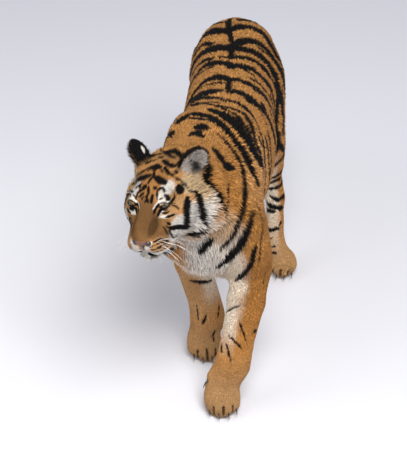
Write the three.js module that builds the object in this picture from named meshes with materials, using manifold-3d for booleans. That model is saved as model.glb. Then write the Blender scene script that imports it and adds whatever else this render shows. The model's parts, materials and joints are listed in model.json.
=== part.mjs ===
// A life-size Amur tiger in its winter coat, walking, as closed faceted solids in millimetres.
// +Z is up and the animal walks towards -Y, so its own left side is +X. The left forepaw is set down
// in front, the left hind foot has come forward, the right legs trail, and the head turns to its right.
//
// Each region is a field: tapered limbs and ellipsoids joined smoothly, less than 0 inside the coat.
// The field is meshed on a grid, its points are moved onto the field's surface, and planes part the nodes.
import * as THREE from "three";
import { mergeVertices } from "three/addons/utils/BufferGeometryUtils.js";
import Module from "manifold-3d";

const wasm = await Module();
wasm.setup();

// ---- Driving dimensions -------------------------------------------------------------------------
const WITHERS = 968; // height over the shoulder blades, coat included
const CROUP = 920; // height over the hips
const HIP_Y = 400; // the hips lie this far behind the origin of the skeleton
const SHOULDER_Y = -420; // the top of the shoulder blades
const HALF_WIDTH = 178; // half the trunk's width at the ribs, coat included
const PAW_WIDTH = 138; // a forepaw, coat included
const PAW_LENGTH = 152; // from the heel of a forepaw to its toes
const HIND_SHARE = 0.9; // a hind paw beside a forepaw
const EYE_RADIUS = 17;
// The eyes' centres, forwards, to the left and up; the head's own lean leaves them a little uneven.
const EYES = { left: [-7, 57, 10], right: [-4, -58, 6] };
const MUZZLE_SET = 4; // the muzzle's front stands this far to the left of the head's middle
const GAP = 0.4; // between neighbouring nodes
const BLEND = 46; // how softly the trunk's forms run into each other

const v3 = (x, y, z) => new THREE.Vector3(x, y, z);
const rad = THREE.MathUtils.degToRad;
const lerp = THREE.MathUtils.lerp;

// ---- Fields -------------------------------------------------------------------------------------
// A limb of round section from a to b, with a radius at each end.
function limb(a, b, ra, rb) {
  const ab = b.clone().sub(a);
  const l2 = ab.lengthSq();
  const q = v3(0, 0, 0);
  return (p) => {
    q.subVectors(p, a);
    const t = THREE.MathUtils.clamp(q.dot(ab) / l2, 0, 1);
    return q.addScaledVector(ab, -t).length() - lerp(ra, rb, t);
  };
}

// An ellipsoid at c, with its half sizes along a frame's axes (the world's if none is given).
function form(c, r, axes = null) {
  const q = v3(0, 0, 0);
  const turn = axes ? axes.clone().transpose() : null;
  return (p) => {
    q.subVectors(p, c);
    if (turn) q.applyMatrix4(turn);
    const k0 = Math.hypot(q.x / r[0], q.y / r[1], q.z / r[2]);
    const k1 = Math.hypot(q.x / r[0] ** 2, q.y / r[1] ** 2, q.z / r[2] ** 2);
    return k1 < 1e-9 ? -Math.min(...r) : (k0 * (k0 - 1)) / k1;
  };
}

// The smooth union of fields: k is the width of the fillet between two of them.
function blend(k, fields) {
  return (p) => {
    let d = fields[0](p);
    for (let i = 1; i < fields.length; i++) {
      const e = fields[i](p);
      const h = Math.max(k - Math.abs(d - e), 0);
      d = Math.min(d, e) - (h * h) / (4 * k);
    }
    return d;
  };
}

// A field with another taken out of it, the edge rounded by k.
function hollow(k, field, tool) {
  return (p) => {
    const d = field(p);
    const e = -tool(p);
    const h = Math.max(k - Math.abs(d - e), 0);
    return Math.max(d, e) + (h * h) / (4 * k);
  };
}

// ---- Meshing ------------------------------------------------------------------------------------
// Moves p onto the field's surface along its slope.
function settle(field, p, step) {
  const e = 1.5;
  const g = v3(0, 0, 0);
  const q = v3(0, 0, 0);
  for (let pass = 0; pass < 3; pass++) {
    const d = field(p);
    ["x", "y", "z"].forEach((k) => {
      q.copy(p)[k] += e;
      g[k] = (field(q) - d) / e;
    });
    const slope = Math.max(g.lengthSq(), 0.25);
    p.addScaledVector(g, THREE.MathUtils.clamp(-d / slope, -step, step));
  }
  return p;
}

// Where only opposite corners of a grid square or of a cube are inside, two sheets would touch in a
// line or a point. One outer corner is then taken inside, until no such square or cube is left.
function settleDoubts(value, n, index) {
  const inside = -0.05;
  const along = [[1, 0, 0], [0, 1, 0], [0, 0, 1]];
  for (let changed = true; changed; ) {
    changed = false;
    const fill = (...at) => {
      const out = at.filter((t) => value[t] >= 0).sort((a, b) => value[a] - value[b]);
      value[out[0]] = inside;
      changed = true;
    };
    for (let k = 1; k < n[2] - 1; k++)
      for (let j = 1; j < n[1] - 1; j++)
        for (let i = 1; i < n[0] - 1; i++) {
          for (let a = 0; a < 3; a++) {
            const [u, w] = [along[a], along[(a + 1) % 3]];
            const o = index(i, j, k);
            const p = index(i + u[0], j + u[1], k + u[2]);
            const q = index(i + w[0], j + w[1], k + w[2]);
            const r = index(i + u[0] + w[0], j + u[1] + w[1], k + u[2] + w[2]);
            const [so, sp, sq, sr] = [o, p, q, r].map((t) => value[t] < 0);
            if (so === sr && sp === sq && so !== sp) fill(o, p, q, r);
          }
          const c = [0, 1, 2, 3, 4, 5, 6, 7].map((m) => index(i + (m & 1), j + ((m >> 1) & 1), k + (m >> 2)));
          const ins = c.filter((t) => value[t] < 0).length;
          for (let m = 0; m < 4; m++) {
            const pair = value[c[m]] < 0 === value[c[7 - m]] < 0;
            if (pair && ins === (value[c[m]] < 0 ? 2 : 6)) fill(...c);
          }
        }
  }
}

// Meshes a field inside a box with cells of the given size: one point to each cell that the surface
// crosses, and one quad to each grid edge that it crosses. The box's border counts as outside.
function surface(field, box, cell) {
  const n = ["x", "y", "z"].map((k, i) => Math.ceil((box.max[k] - box.min[k]) / cell[i]) + 1);
  const at = (i, j, k) => v3(box.min.x + i * cell[0], box.min.y + j * cell[1], box.min.z + k * cell[2]);
  const index = (i, j, k) => i + n[0] * (j + n[1] * k);
  const value = new Float32Array(n[0] * n[1] * n[2]);
  for (let k = 0; k < n[2]; k++)
    for (let j = 0; j < n[1]; j++)
      for (let i = 0; i < n[0]; i++) {
        const edge = [i, j, k].some((t, a) => t === 0 || t === n[a] - 1);
        const d = field(at(i, j, k));
        value[index(i, j, k)] = edge ? Math.max(d, 1) : d;
      }
  settleDoubts(value, n, index);
  const corner = [0, 1, 2, 3, 4, 5, 6, 7].map((c) => [c & 1, (c >> 1) & 1, c >> 2]);
  const edges = [];
  for (let a = 0; a < 8; a++) for (const bit of [1, 2, 4]) if (!(a & bit)) edges.push([a, a | bit]);
  const cellPoint = new Map();
  const points = [];
  for (let k = 0; k < n[2] - 1; k++)
    for (let j = 0; j < n[1] - 1; j++)
      for (let i = 0; i < n[0] - 1; i++) {
        const v = corner.map(([x, y, z]) => value[index(i + x, j + y, k + z)]);
        const p = v3(0, 0, 0);
        let hits = 0;
        for (const [a, b] of edges) {
          if (v[a] < 0 === v[b] < 0) continue;
          const t = v[a] / (v[a] - v[b]);
          p.add(v3(...corner[a].map((x, m) => lerp(x, corner[b][m], t))));
          hits++;
        }
        if (!hits) continue;
        p.divideScalar(hits);
        const world = at(i + p.x, j + p.y, k + p.z);
        const inner = [i, j, k].every((t, a) => t > 0 && t < n[a] - 2);
        if (inner) settle(field, world, 0.3 * Math.min(...cell));
        cellPoint.set(index(i, j, k), points.length);
        points.push(world);
      }
  const faces = [];
  const quad = (a, b, c, d, flip) => {
    const [p, q, r, s] = [a, b, c, d].map((t) => cellPoint.get(t));
    const short = points[p].distanceTo(points[r]) <= points[q].distanceTo(points[s]);
    const halves = short ? [[p, q, r], [p, r, s]] : [[q, r, s], [q, s, p]];
    for (const f of halves) faces.push(...(flip ? f.reverse() : f));
  };
  for (let k = 0; k < n[2] - 1; k++)
    for (let j = 0; j < n[1] - 1; j++)
      for (let i = 0; i < n[0] - 1; i++) {
        const here = value[index(i, j, k)] < 0;
        if (j && k && here !== value[index(i + 1, j, k)] < 0)
          quad(index(i, j - 1, k - 1), index(i, j, k - 1), index(i, j, k), index(i, j - 1, k), !here);
        if (i && k && here !== value[index(i, j + 1, k)] < 0)
          quad(index(i - 1, j, k - 1), index(i - 1, j, k), index(i, j, k), index(i, j, k - 1), !here);
        if (i && j && here !== value[index(i, j, k + 1)] < 0)
          quad(index(i - 1, j - 1, k), index(i, j - 1, k), index(i, j, k), index(i - 1, j, k), !here);
      }
  const flat = new Float32Array(points.flatMap((p) => [p.x, p.y, p.z]));
  return new THREE.BufferGeometry()
    .setAttribute("position", new THREE.BufferAttribute(flat, 3))
    .setIndex(faces);
}

// ---- Solids -------------------------------------------------------------------------------------
function solidOf(geometry) {
  const bare = geometry.clone();
  bare.deleteAttribute("normal");
  bare.deleteAttribute("uv");
  const merged = mergeVertices(bare, 1e-4);
  return new wasm.Manifold(
    new wasm.Mesh({
      numProp: 3,
      vertProperties: new Float32Array(merged.attributes.position.array),
      triVerts: new Uint32Array(merged.index.array),
    }),
  );
}

function geometryOf(solid) {
  const m = solid.getMesh();
  const flat = new Float32Array(m.numVert * 3);
  for (let i = 0; i < m.numVert; i++)
    flat.set(m.vertProperties.subarray(i * m.numProp, i * m.numProp + 3), i * 3);
  const g = new THREE.BufferGeometry()
    .setAttribute("position", new THREE.BufferAttribute(flat, 3))
    .setIndex(new THREE.BufferAttribute(m.triVerts, 1));
  g.computeVertexNormals();
  return g;
}

// The half of space behind a plane: outwards points away from what is kept, and slack moves the plane out.
function behind(point, outwards, slack = 0) {
  const size = 6000;
  const n = outwards.clone().normalize();
  const g = new THREE.BoxGeometry(size, size, size);
  g.applyQuaternion(new THREE.Quaternion().setFromUnitVectors(v3(0, 0, 1), n));
  const centre = point.clone().addScaledVector(n, slack - size / 2);
  return solidOf(g.translate(centre.x, centre.y, centre.z));
}

// The space behind all of the planes, each [point, outwards].
function between(planes, slack = 0) {
  return planes
    .map(([point, outwards]) => behind(point, outwards, slack))
    .reduce((a, b) => a.intersect(b));
}

// ---- The skeleton -------------------------------------------------------------------------------
// The spine bends to the animal's right towards the head: its middle line, seen from above.
const spineX = (y) => 92 + 36 * THREE.MathUtils.smoothstep(y, 0, 520)
  - 98 * THREE.MathUtils.smoothstep(-y, 40, 760) - 20 * THREE.MathUtils.smoothstep(-y, 480, 800);

// Each leg's points from the trunk to the paw, and the way its toes point, in degrees from straight ahead.
const LEGS = {
  fore_left: {
    side: 1, root: v3(108, -560, 735), knee: v3(130, -632, 650), elbow: v3(172, -590, 455),
    wrist: v3(104, -752, 165), paw: v3(64, -790, 0), heading: 5,
  },
  fore_right: {
    side: -1, root: v3(-92, -510, 735), knee: v3(-116, -580, 650), elbow: v3(-57, -402, 462),
    wrist: v3(13, -420, 168), paw: v3(1, -446, 0), heading: 10,
  },
  hind_left: {
    side: 1, root: v3(200, 350, 720), knee: v3(234, 190, 520), elbow: v3(280, 240, 275),
    wrist: v3(282, 142, 92), paw: v3(309, 108, 0), heading: -8,
  },
  hind_right: {
    side: -1, root: v3(75, 390, 720), knee: v3(52, 275, 508), elbow: v3(46, 532, 300),
    wrist: v3(52, 482, 96), paw: v3(54, 450, 0), heading: 4,
  },
};

// The head's frame: forwards, to its left and up, about the middle between the eyes.
const HEAD = { at: v3(-179, -858, 870), yaw: rad(25.5), pitch: rad(7), roll: rad(7.6) };
const headAxes = (() => {
  const { yaw, pitch, roll } = HEAD;
  const forwards = v3(-Math.sin(yaw) * Math.cos(pitch), -Math.cos(yaw) * Math.cos(pitch), -Math.sin(pitch));
  const left = v3(Math.cos(yaw), -Math.sin(yaw), 0).applyAxisAngle(forwards, roll);
  const up = v3(0, 0, 0).crossVectors(forwards, left);
  return new THREE.Matrix4().makeBasis(forwards, left, up);
})();
// A point and a direction of the head from forwards, left and up distances.
const inHead = (f, l, u) => v3(f, l, u).applyMatrix4(headAxes).add(HEAD.at);
const headway = (f, l, u) => v3(f, l, u).applyMatrix4(headAxes);

// ---- Forms of the body --------------------------------------------------------------------------
// The trunk's sections from the rump to the chest: y, top, bottom and half width.
const SECTIONS = [
  [558, CROUP - 58, 650, 116],
  [475, CROUP - 5, 590, 152],
  [HIP_Y, CROUP + 4, 556, 162],
  [230, CROUP + 4, 500, 162],
  [60, CROUP + 2, 470, 168],
  [-110, CROUP + 6, 452, HALF_WIDTH],
  [-270, CROUP + 22, 446, HALF_WIDTH],
  [SHOULDER_Y, WITHERS - 8, 452, 170],
  [-545, WITHERS - 62, 470, 146],
];

function trunkForms() {
  const forms = [];
  const discs = 3;
  for (let i = 0; i + 1 < SECTIONS.length; i++)
    for (let j = 0; j < discs; j++) {
      const [y, top, bottom, half] = SECTIONS[i].map((v, k) => lerp(v, SECTIONS[i + 1][k], j / discs));
      forms.push(form(v3(spineX(y), y, (top + bottom) / 2), [half, 96, (top - bottom) / 2]));
    }
  forms.push(form(v3(spineX(500), 520, 735), [112, 100, 110])); // the rump under the tail's root
  forms.push(form(v3(spineX(-600), -600, 615), [128, 104, 165])); // the breast
  forms.push(form(v3(spineX(-540), -530, 500), [104, 130, 92])); // the brisket between the forelegs
  forms.push(limb(v3(spineX(-330) - 98, -310, 852), v3(-142, -560, 660), 84, 84)); // right shoulder blade
  forms.push(limb(v3(spineX(-370) + 76, -370, 872), v3(124, -600, 660), 78, 86)); // left shoulder blade
  return forms;
}

function neckForms() {
  return [
    limb(v3(spineX(-470), -470, 795), inHead(-170, 0, -8), 150, 112),
    limb(v3(spineX(-500), -520, 690), inHead(-140, 10, -70), 138, 104),
    form(inHead(-190, 74, -66), [90, 100, 118], headAxes),
    form(inHead(-190, -66, -66), [90, 90, 118], headAxes),
  ];
}

// The end of a foreleg's dewclaw toe, on the inside below the wrist.
const thumbOf = ({ side, wrist, paw }) => wrist.clone().lerp(paw, 0.3).add(v3(-side * 66, 2, 0));

function foreForms(leg) {
  const { side, root, knee, elbow, wrist, paw } = leg;
  const arm = elbow.clone().lerp(wrist, 0.3);
  return [
    limb(root, knee, 84, 88),
    limb(knee, elbow, 92, 74),
    limb(elbow.clone().add(v3(0, 16, 10)), arm, 68, 72),
    limb(arm, wrist, 72, 62),
    form(knee.clone().lerp(elbow, 0.55).add(v3(side * 8, -8, 0)), [80, 96, 118]),
    limb(wrist, paw.clone().add(v3(0, 14, 72)), 62, 58),
    limb(wrist.clone().lerp(thumbOf(leg), 0.6), thumbOf(leg), 28, 20), // the dewclaw's toe
  ];
}

function hindForms({ side, root, knee, elbow, wrist, paw }) {
  const calf = knee.clone().lerp(elbow, 0.35);
  return [
    limb(root, knee, 118, 86),
    form(root.clone().lerp(knee, 0.35).add(v3(side * 6, 30, 0)), [88, 146, 154]), // the thigh
    limb(knee, calf, 80, 66),
    limb(calf.clone().add(v3(0, 10, 0)), elbow, 62, 44),
    limb(elbow.clone().add(v3(0, 8, 6)), wrist, 42, 42),
    limb(wrist, paw.clone().add(v3(0, 14, 56)), 42, 46),
  ];
}

// Each toe's place: across the paw as a share of its width, and ahead as a share of its length.
const TOES = [
  [-0.33, 0.28],
  [-0.12, 0.44],
  [0.12, 0.44],
  [0.33, 0.28],
];

// A point of a paw from its middle on the floor: to the left, to the back and up.
const inPaw = ({ paw, heading }) => {
  const turn = new THREE.Matrix4().makeRotationZ(rad(heading));
  return { turn, at: (x, y, z) => v3(x, y, z).applyMatrix4(turn).add(paw) };
};
const pawShare = (name) => (name.startsWith("fore") ? 1 : HIND_SHARE);

// A paw: a broad pad under four arched toes and the knuckles behind them.
function pawForms(leg, share) {
  const { turn, at } = inPaw(leg);
  const width = PAW_WIDTH * share;
  const length = PAW_LENGTH * share;
  const forms = [form(at(0, 12, 42), [width * 0.42, length * 0.42, 49], turn)];
  TOES.forEach(([across, ahead], i) => {
    const x = across * width;
    const y = -ahead * length;
    const r = share * (i === 0 || i === 3 ? 22 : 24);
    forms.push(limb(at(x * 0.72, y + 56, 60), at(x, y + 26, 47), r, r + 1));
    forms.push(limb(at(x, y + 26, 45), at(x * 1.04, y, 24), r + 1, r - 3));
  });
  return forms;
}

const tailCurve = new THREE.CatmullRomCurve3([
  v3(spineX(500), 520, 815),
  v3(spineX(500), 640, 735),
  v3(122, 712, 590),
  v3(106, 742, 430),
  v3(90, 785, 290),
  v3(76, 875, 200),
  v3(68, 985, 205),
  v3(64, 1070, 262),
]);

function tailForms() {
  const steps = 14;
  const radius = (t) => lerp(50, 38, t) - 10 * THREE.MathUtils.smoothstep(t, 0.9, 1);
  return Array.from({ length: steps }, (_, i) => {
    const [a, b] = [i / steps, (i + 1) / steps];
    return limb(tailCurve.getPoint(a), tailCurve.getPoint(b), radius(a), radius(b));
  });
}

// ---- Forms of the head --------------------------------------------------------------------------
// The head without its ears and eyes, coat included: skull, bridge, whisker pads, jaw and ruff.
function headForms() {
  const forms = [
    form(inHead(-122, 0, 10), [122, 92, 88], headAxes), // the skull
    form(inHead(-46, 0, 18), [64, 66, 42], headAxes), // the forehead
    limb(inHead(-20, 0, -14), inHead(74, 0, -58), 48, 37), // the bridge of the nose
    form(inHead(46, 0, -84), [62, 56, 50], headAxes), // the muzzle
    form(inHead(50, 0, -148), [46, 44, 28], headAxes), // the chin
    limb(inHead(24, 0, -126), inHead(-100, 0, -122), 44, 68), // the lower jaw
    form(inHead(-185, 0, -40), [84, 110, 108], headAxes), // the ruff behind the skull
  ];
  for (const side of [1, -1]) {
    forms.push(form(inHead(62, side * 40 + MUZZLE_SET, -104), [44, 35, 37], headAxes)); // whisker pad
    forms.push(form(inHead(18, side * 56, -112), [42, 32, 34], headAxes)); // jowl behind the pad
    forms.push(form(inHead(-27, side * 51, 27), [28, 30, 17], headAxes)); // brow
    forms.push(limb(inHead(-10, side * 59, -40), inHead(-84, side * 90, -32), 36, 42)); // cheek bone
    forms.push(form(inHead(10, side * 42, -86), [50, 34, 42], headAxes)); // between pad and cheek
    forms.push(form(inHead(-72, side * 78, -82), [66, 58, 66], headAxes)); // cheek
    forms.push(form(inHead(-146, side * 116, -98), [62, 66, 96], headAxes)); // side ruff
    forms.push(form(inHead(-116, side * 66, -146), [64, 62, 52], headAxes)); // ruff under the jaw
    forms.push(form(inHead(-146, side * 74, 38), [44, 34, 38], headAxes)); // the ear's root
  }
  return forms;
}

// An ear's own frame: the way it opens, across it and up it.
function earFrame(side) {
  const up = headway(-0.3, side * 0.46, 0.84).normalize();
  const open = headway(0.5, side * 0.84, -0.1);
  const across = v3(0, 0, 0).crossVectors(up, open).normalize();
  open.crossVectors(across, up);
  const axes = new THREE.Matrix4().makeBasis(open, across, up);
  const root = inHead(-148, side * 81, 47);
  return { axes, at: (o, a, u) => v3(o, a, u).applyMatrix4(axes).add(root), up };
}

// An ear: a rounded blade, hollowed from the side on which it opens.
function earField(side) {
  const { axes, at } = earFrame(side);
  const blade = blend(14, [
    form(at(0, 0, 44), [24, 57, 61], axes),
    form(at(-2, 0, 4), [30, 48, 34], axes),
  ]);
  return hollow(10, blade, form(at(30, 0, 44), [34, 44, 49], axes));
}

// ---- The whole animal as one field --------------------------------------------------------------
const legField = (name, leg) => {
  const bones = name.startsWith("fore") ? foreForms(leg) : hindForms(leg);
  return blend(26, [blend(26, bones), blend(15, pawForms(leg, pawShare(name)))]);
};
const body = blend(BLEND, [
  blend(BLEND, [...trunkForms(), ...neckForms()]),
  ...Object.entries(LEGS).map(([name, leg]) => legField(name, leg)),
  blend(20, tailForms()),
  blend(24, headForms()),
]);
const beast = blend(12, [body, earField(1), earField(-1)]);

// ---- Planes and boxes that part the nodes, each plane as [point, outwards] ----------------------
const headEnd = [inHead(-190, 0, 0), headway(-1, 0, -0.3)];
const trunkEnd = [v3(spineX(-560), -568, 760), v3(-0.1, -0.85, 0.6)];
const tailEnd = [v3(spineX(520), 600, 800), v3(0, 1, -0.25)];
const floor = [v3(0, 0, 0), v3(0, 0, -1)];
const flipped = ([point, outwards]) => [point, outwards.clone().negate()];
const boxRound = (points, margin) => new THREE.Box3().setFromPoints(points).expandByScalar(margin);
const earEnd = (side) => [earFrame(side).at(0, 0, 18), earFrame(side).up];
const jawRoom = [
  [inHead(36, 0, -119), headway(0.2, 0, 1)],
  [inHead(-20, 0, -120), headway(-1, 0, -0.5)],
  [inHead(0, 60, 0), headway(0, 1, 0)],
  [inHead(0, -60, 0), headway(0, -1, 0)],
];
const tailCuts = [0.36, 0.68].map((t) => [tailCurve.getPoint(t), tailCurve.getTangent(t)]);

// The room of a whole leg: its inner plane leans out towards the top, and two planes bound it fore and aft.
const roomOf = (side, innerX, lean, [y0, lean0], y1) => [
  [v3(innerX, 0, 520), v3(-side, 0, lean)],
  [v3(0, y0, 600), v3(0, -1, lean0)],
  [v3(0, y1, 0), v3(0, 1, 0)],
];
const ROOMS = {
  fore_left: [...roomOf(1, 74, 0.45, [-960, 0], -440), flipped(headEnd)],
  fore_right: [...roomOf(-1, -48, 0.45, [-700, 0], -300), flipped(headEnd)],
  hind_left: roomOf(1, 172, 0.42, [110, 0.55], 640),
  hind_right: roomOf(-1, 96, 0.42, [150, 0.55], 650),
};

// ---- Nodes --------------------------------------------------------------------------------------
const COLOURS = {
  orange: { color: 0xc07a35, roughness: 0.85 },
  pale: { color: 0xe4dccd, roughness: 0.85 },
  nose: { color: 0xb07468, roughness: 0.45 },
  eye: { color: 0xb59a4a, roughness: 0.15 },
  claw: { color: 0x39312b, roughness: 0.35 },
};
const solids = new Map();
const add = (name, solid, look) => solids.set(name, { solid, look });

const meshed = (box, cell) => solidOf(surface(beast, box, cell));
const largest = (solid) => solid.decompose().sort((a, b) => b.volume() - a.volume())[0];
const kept = (solid, planes) => largest(solid.intersect(between(planes, -GAP / 2)));

function addTrunk() {
  const bulk = meshed(new THREE.Box3(v3(-260, -760, 380), v3(420, 720, 1010)), [70, 86, 62]);
  let trunk = bulk.intersect(between([trunkEnd, tailEnd], -GAP / 2));
  const round = meshed(boxRound([inHead(-150, 0, -20), v3(0, -560, 650)], 250), [46, 46, 46]);
  let neck = round.intersect(between([flipped(trunkEnd), flipped(headEnd)], -GAP / 2));
  for (const room of Object.values(ROOMS)) {
    const taken = between(room, GAP / 2);
    trunk = trunk.subtract(taken);
    neck = neck.subtract(taken);
  }
  add("trunk", largest(trunk), "orange");
  add("neck", largest(neck), "orange");
}

// A claw: a horn of round section that curves down from inside its toe, with its tip clear of the floor.
function claw(root, ahead, size) {
  const rings = 3;
  const sides = 4;
  const down = v3(0, 0, -1);
  const across = v3(0, 0, 0).crossVectors(ahead, down).normalize();
  const ring = (t) => {
    const bend = rad(12 + 50 * t);
    const centre = root.clone().addScaledVector(ahead, size * Math.sin(1.35 * t));
    centre.addScaledVector(down, size * 0.62 * t * t);
    const out = ahead.clone().multiplyScalar(Math.sin(bend)).addScaledVector(down, -Math.cos(bend));
    const r = size * 0.24 * (1 - t);
    return Array.from({ length: sides }, (_, i) => {
      const a = (i / sides) * Math.PI * 2;
      const p = centre.clone().addScaledVector(out, r * 1.25 * Math.cos(a));
      return p.addScaledVector(across, r * 0.8 * Math.sin(a));
    });
  };
  const points = Array.from({ length: rings }, (_, i) => ring(i / rings)).flat();
  points.push(root.clone(), ring(1)[0]);
  const faces = [];
  for (let i = 0; i < sides; i++) {
    const j = (i + 1) % sides;
    faces.push(points.length - 2, i, j, (rings - 1) * sides + i, points.length - 1, (rings - 1) * sides + j);
    for (let k = 0; k + 1 < rings; k++) {
      const [a, b, c, d] = [k * sides + i, k * sides + j, (k + 1) * sides + j, (k + 1) * sides + i];
      faces.push(a, d, b, b, d, c);
    }
  }
  const flat = new Float32Array(points.flatMap((p) => [p.x, p.y, p.z]));
  const g = new THREE.BufferGeometry().setAttribute("position", new THREE.BufferAttribute(flat, 3));
  return g.setIndex(faces);
}

// A copy of a closed mesh with its points moved outwards by a distance.
function grown(geometry, by) {
  const g = geometry.clone();
  g.computeVertexNormals();
  const { position, normal } = g.attributes;
  for (let i = 0; i < position.count; i++) {
    const p = v3().fromBufferAttribute(position, i).addScaledVector(v3().fromBufferAttribute(normal, i), by);
    position.setXYZ(i, p.x, p.y, p.z);
  }
  return g;
}

// The claws of a leg: one at each toe, and on a foreleg one at the dewclaw's toe.
function clawsOf(name, leg) {
  const { turn, at } = inPaw(leg);
  const share = pawShare(name);
  const ahead = v3(0, -1, 0).applyMatrix4(turn);
  const claws = TOES.map(([across, far]) => {
    const root = at(across * 1.05 * PAW_WIDTH * share, -far * PAW_LENGTH * share - 8, 27);
    return claw(root, ahead, 27 * share);
  });
  if (name.startsWith("fore")) {
    const root = thumbOf(leg).add(v3(-leg.side * 8, -12, -6));
    claws.push(claw(root, v3(-leg.side * 0.65, -0.72, -0.25).normalize(), 34));
  }
  return claws;
}

function addLeg(name, leg, cells) {
  const { root, knee, elbow, wrist, paw } = leg;
  const shin = wrist.clone().sub(elbow).normalize();
  const bend = [elbow, elbow.clone().sub(knee).normalize().add(shin)];
  const ankle = [wrist.clone().add(v3(0, 0, -4)), v3(0, 0, -1).lerp(shin, 0.5)];
  const room = ROOMS[name];
  const top = meshed(boxRound([root, knee, elbow], 190), cells[0]);
  const low = meshed(boxRound([elbow, wrist], 130), cells[1]);
  let foot = meshed(boxRound([wrist, paw], 124), cells[2]);
  clawsOf(name, leg).forEach((horn, i) => {
    foot = foot.subtract(solidOf(grown(horn, 0.7)));
    add(`${name}_claw_${i + 1}`, solidOf(horn), "claw");
  });
  add(`${name}_upper`, kept(top, [...room, bend]), "orange");
  add(`${name}_lower`, kept(low, [...room, flipped(bend), ankle]), "orange");
  add(`${name}_paw`, largest(kept(foot, [flipped(ankle)]).intersect(behind(...floor))), "orange");
}

function addHead() {
  let head = meshed(boxRound([inHead(-130, 0, -20)], 290), [27, 27, 27]);
  head = head.intersect(between([headEnd, earEnd(1), earEnd(-1)], -GAP / 2));
  head = head.subtract(between(jawRoom, GAP / 2));
  const jaw = meshed(boxRound([inHead(18, 0, -150)], 100), [22, 22, 22]);
  add("lower_jaw", kept(jaw, jawRoom), "pale");
  const leather = surface(
    blend(8, [
      form(inHead(102, MUZZLE_SET, -76), [13, 31, 12], headAxes),
      form(inHead(102, MUZZLE_SET, -90), [13, 19, 19], headAxes),
    ]),
    boxRound([inHead(102, MUZZLE_SET, -82)], 44),
    [11, 11, 11],
  );
  add("nose", solidOf(leather), "nose");
  head = head.subtract(solidOf(grown(leather, 0.8)));
  for (const [word, side] of [["left", 1], ["right", -1]]) {
    const ball = new THREE.IcosahedronGeometry(EYE_RADIUS, 1);
    ball.deleteAttribute("normal");
    ball.deleteAttribute("uv");
    const [forwards, left, up] = EYES[word];
    const centre = inHead(forwards, left, up);
    const eye = mergeVertices(ball, 1e-3).translate(centre.x, centre.y, centre.z);
    add(`eye_${word}`, solidOf(eye), "eye");
    const front = inHead(forwards + 26, left + side * 7, up + 2);
    const way = new THREE.LineCurve3(centre, front);
    head = head.subtract(solidOf(grown(eye, 0.8))).subtract(solidOf(surface(
      limb(way.v1, way.v2, EYE_RADIUS * 0.72, EYE_RADIUS), boxRound([centre, front], 30), [12, 12, 12],
    )));
    const ear = meshed(boxRound([earFrame(side).at(0, 0, 50)], 84), [20, 20, 20]);
    add(`ear_${word}`, kept(ear, [flipped(earEnd(side)), headEnd]), "orange");
  }
  add("head", largest(head), "orange");
}

function addTail() {
  const [first, second] = tailCuts;
  const whole = meshed(boxRound(tailCurve.getPoints(20), 70), [38, 44, 44]);
  const thighs = between(ROOMS.hind_left, GAP / 2).add(between(ROOMS.hind_right, GAP / 2));
  const rest = whole.intersect(between([flipped(tailEnd)], -GAP / 2)).subtract(thighs);
  add("tail_root", kept(rest, [first]), "orange");
  add("tail_middle", kept(rest, [flipped(first), second]), "orange");
  add("tail_tip", kept(rest, [flipped(second)]), "orange");
}

addHead();
addTrunk();
for (const [name, leg] of Object.entries(LEGS)) {
  const thigh = name.startsWith("fore") ? 48 : 54;
  addLeg(name, leg, [[thigh, thigh, thigh], [40, 40, 50], [26, 26, 26]]);
}
addTail();

const tiger = new THREE.Group();
for (const [name, { solid, look }] of solids) {
  const mesh = new THREE.Mesh(geometryOf(solid), new THREE.MeshStandardMaterial(COLOURS[look]));
  mesh.name = name;
  tiger.add(mesh);
}

// The origin is under the middle of the model's box, on the floor.
const box = new THREE.Box3().setFromObject(tiger);
const middle = box.getCenter(v3());
tiger.position.set(-middle.x, -middle.y, -box.min.z);

export default tiger;
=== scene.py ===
"""A life-size still model of an Amur tiger in its winter coat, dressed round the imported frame.

One skin stands for every solid of flesh, with tufts of hair rooted in it. The eyes, the nose leather,
the claws and the whiskers are pieces of their own. The animal walks towards -Y, its left is +X.
Points of the body are written in millimetres, on the skeleton's own axes or on the head's; the
meshes are in metres.
"""
import json
import logging
import math
from dataclasses import dataclass, field
from enum import Enum

import bmesh
import bpy
import numpy as np
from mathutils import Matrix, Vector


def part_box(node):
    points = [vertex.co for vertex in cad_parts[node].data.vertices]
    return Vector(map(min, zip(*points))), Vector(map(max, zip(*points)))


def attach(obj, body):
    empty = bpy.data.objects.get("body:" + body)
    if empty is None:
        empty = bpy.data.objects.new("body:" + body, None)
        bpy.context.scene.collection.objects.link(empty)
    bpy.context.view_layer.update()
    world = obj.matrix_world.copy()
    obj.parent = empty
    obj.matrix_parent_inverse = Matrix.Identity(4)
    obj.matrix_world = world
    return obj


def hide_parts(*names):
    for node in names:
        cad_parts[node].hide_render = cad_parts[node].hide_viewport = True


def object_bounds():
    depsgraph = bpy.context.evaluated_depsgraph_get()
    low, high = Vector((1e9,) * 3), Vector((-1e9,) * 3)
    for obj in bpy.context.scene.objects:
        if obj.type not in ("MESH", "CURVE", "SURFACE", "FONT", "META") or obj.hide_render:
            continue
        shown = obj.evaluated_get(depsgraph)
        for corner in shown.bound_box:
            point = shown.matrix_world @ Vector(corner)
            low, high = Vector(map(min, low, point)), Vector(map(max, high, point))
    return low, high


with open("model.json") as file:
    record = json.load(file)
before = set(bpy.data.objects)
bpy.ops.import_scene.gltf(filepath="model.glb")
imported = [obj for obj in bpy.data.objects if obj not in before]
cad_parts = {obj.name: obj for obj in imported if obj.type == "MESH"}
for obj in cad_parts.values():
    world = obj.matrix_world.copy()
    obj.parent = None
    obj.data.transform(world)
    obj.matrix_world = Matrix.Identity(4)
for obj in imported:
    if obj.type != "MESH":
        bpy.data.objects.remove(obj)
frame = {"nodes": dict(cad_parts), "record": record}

import openvdb

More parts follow.
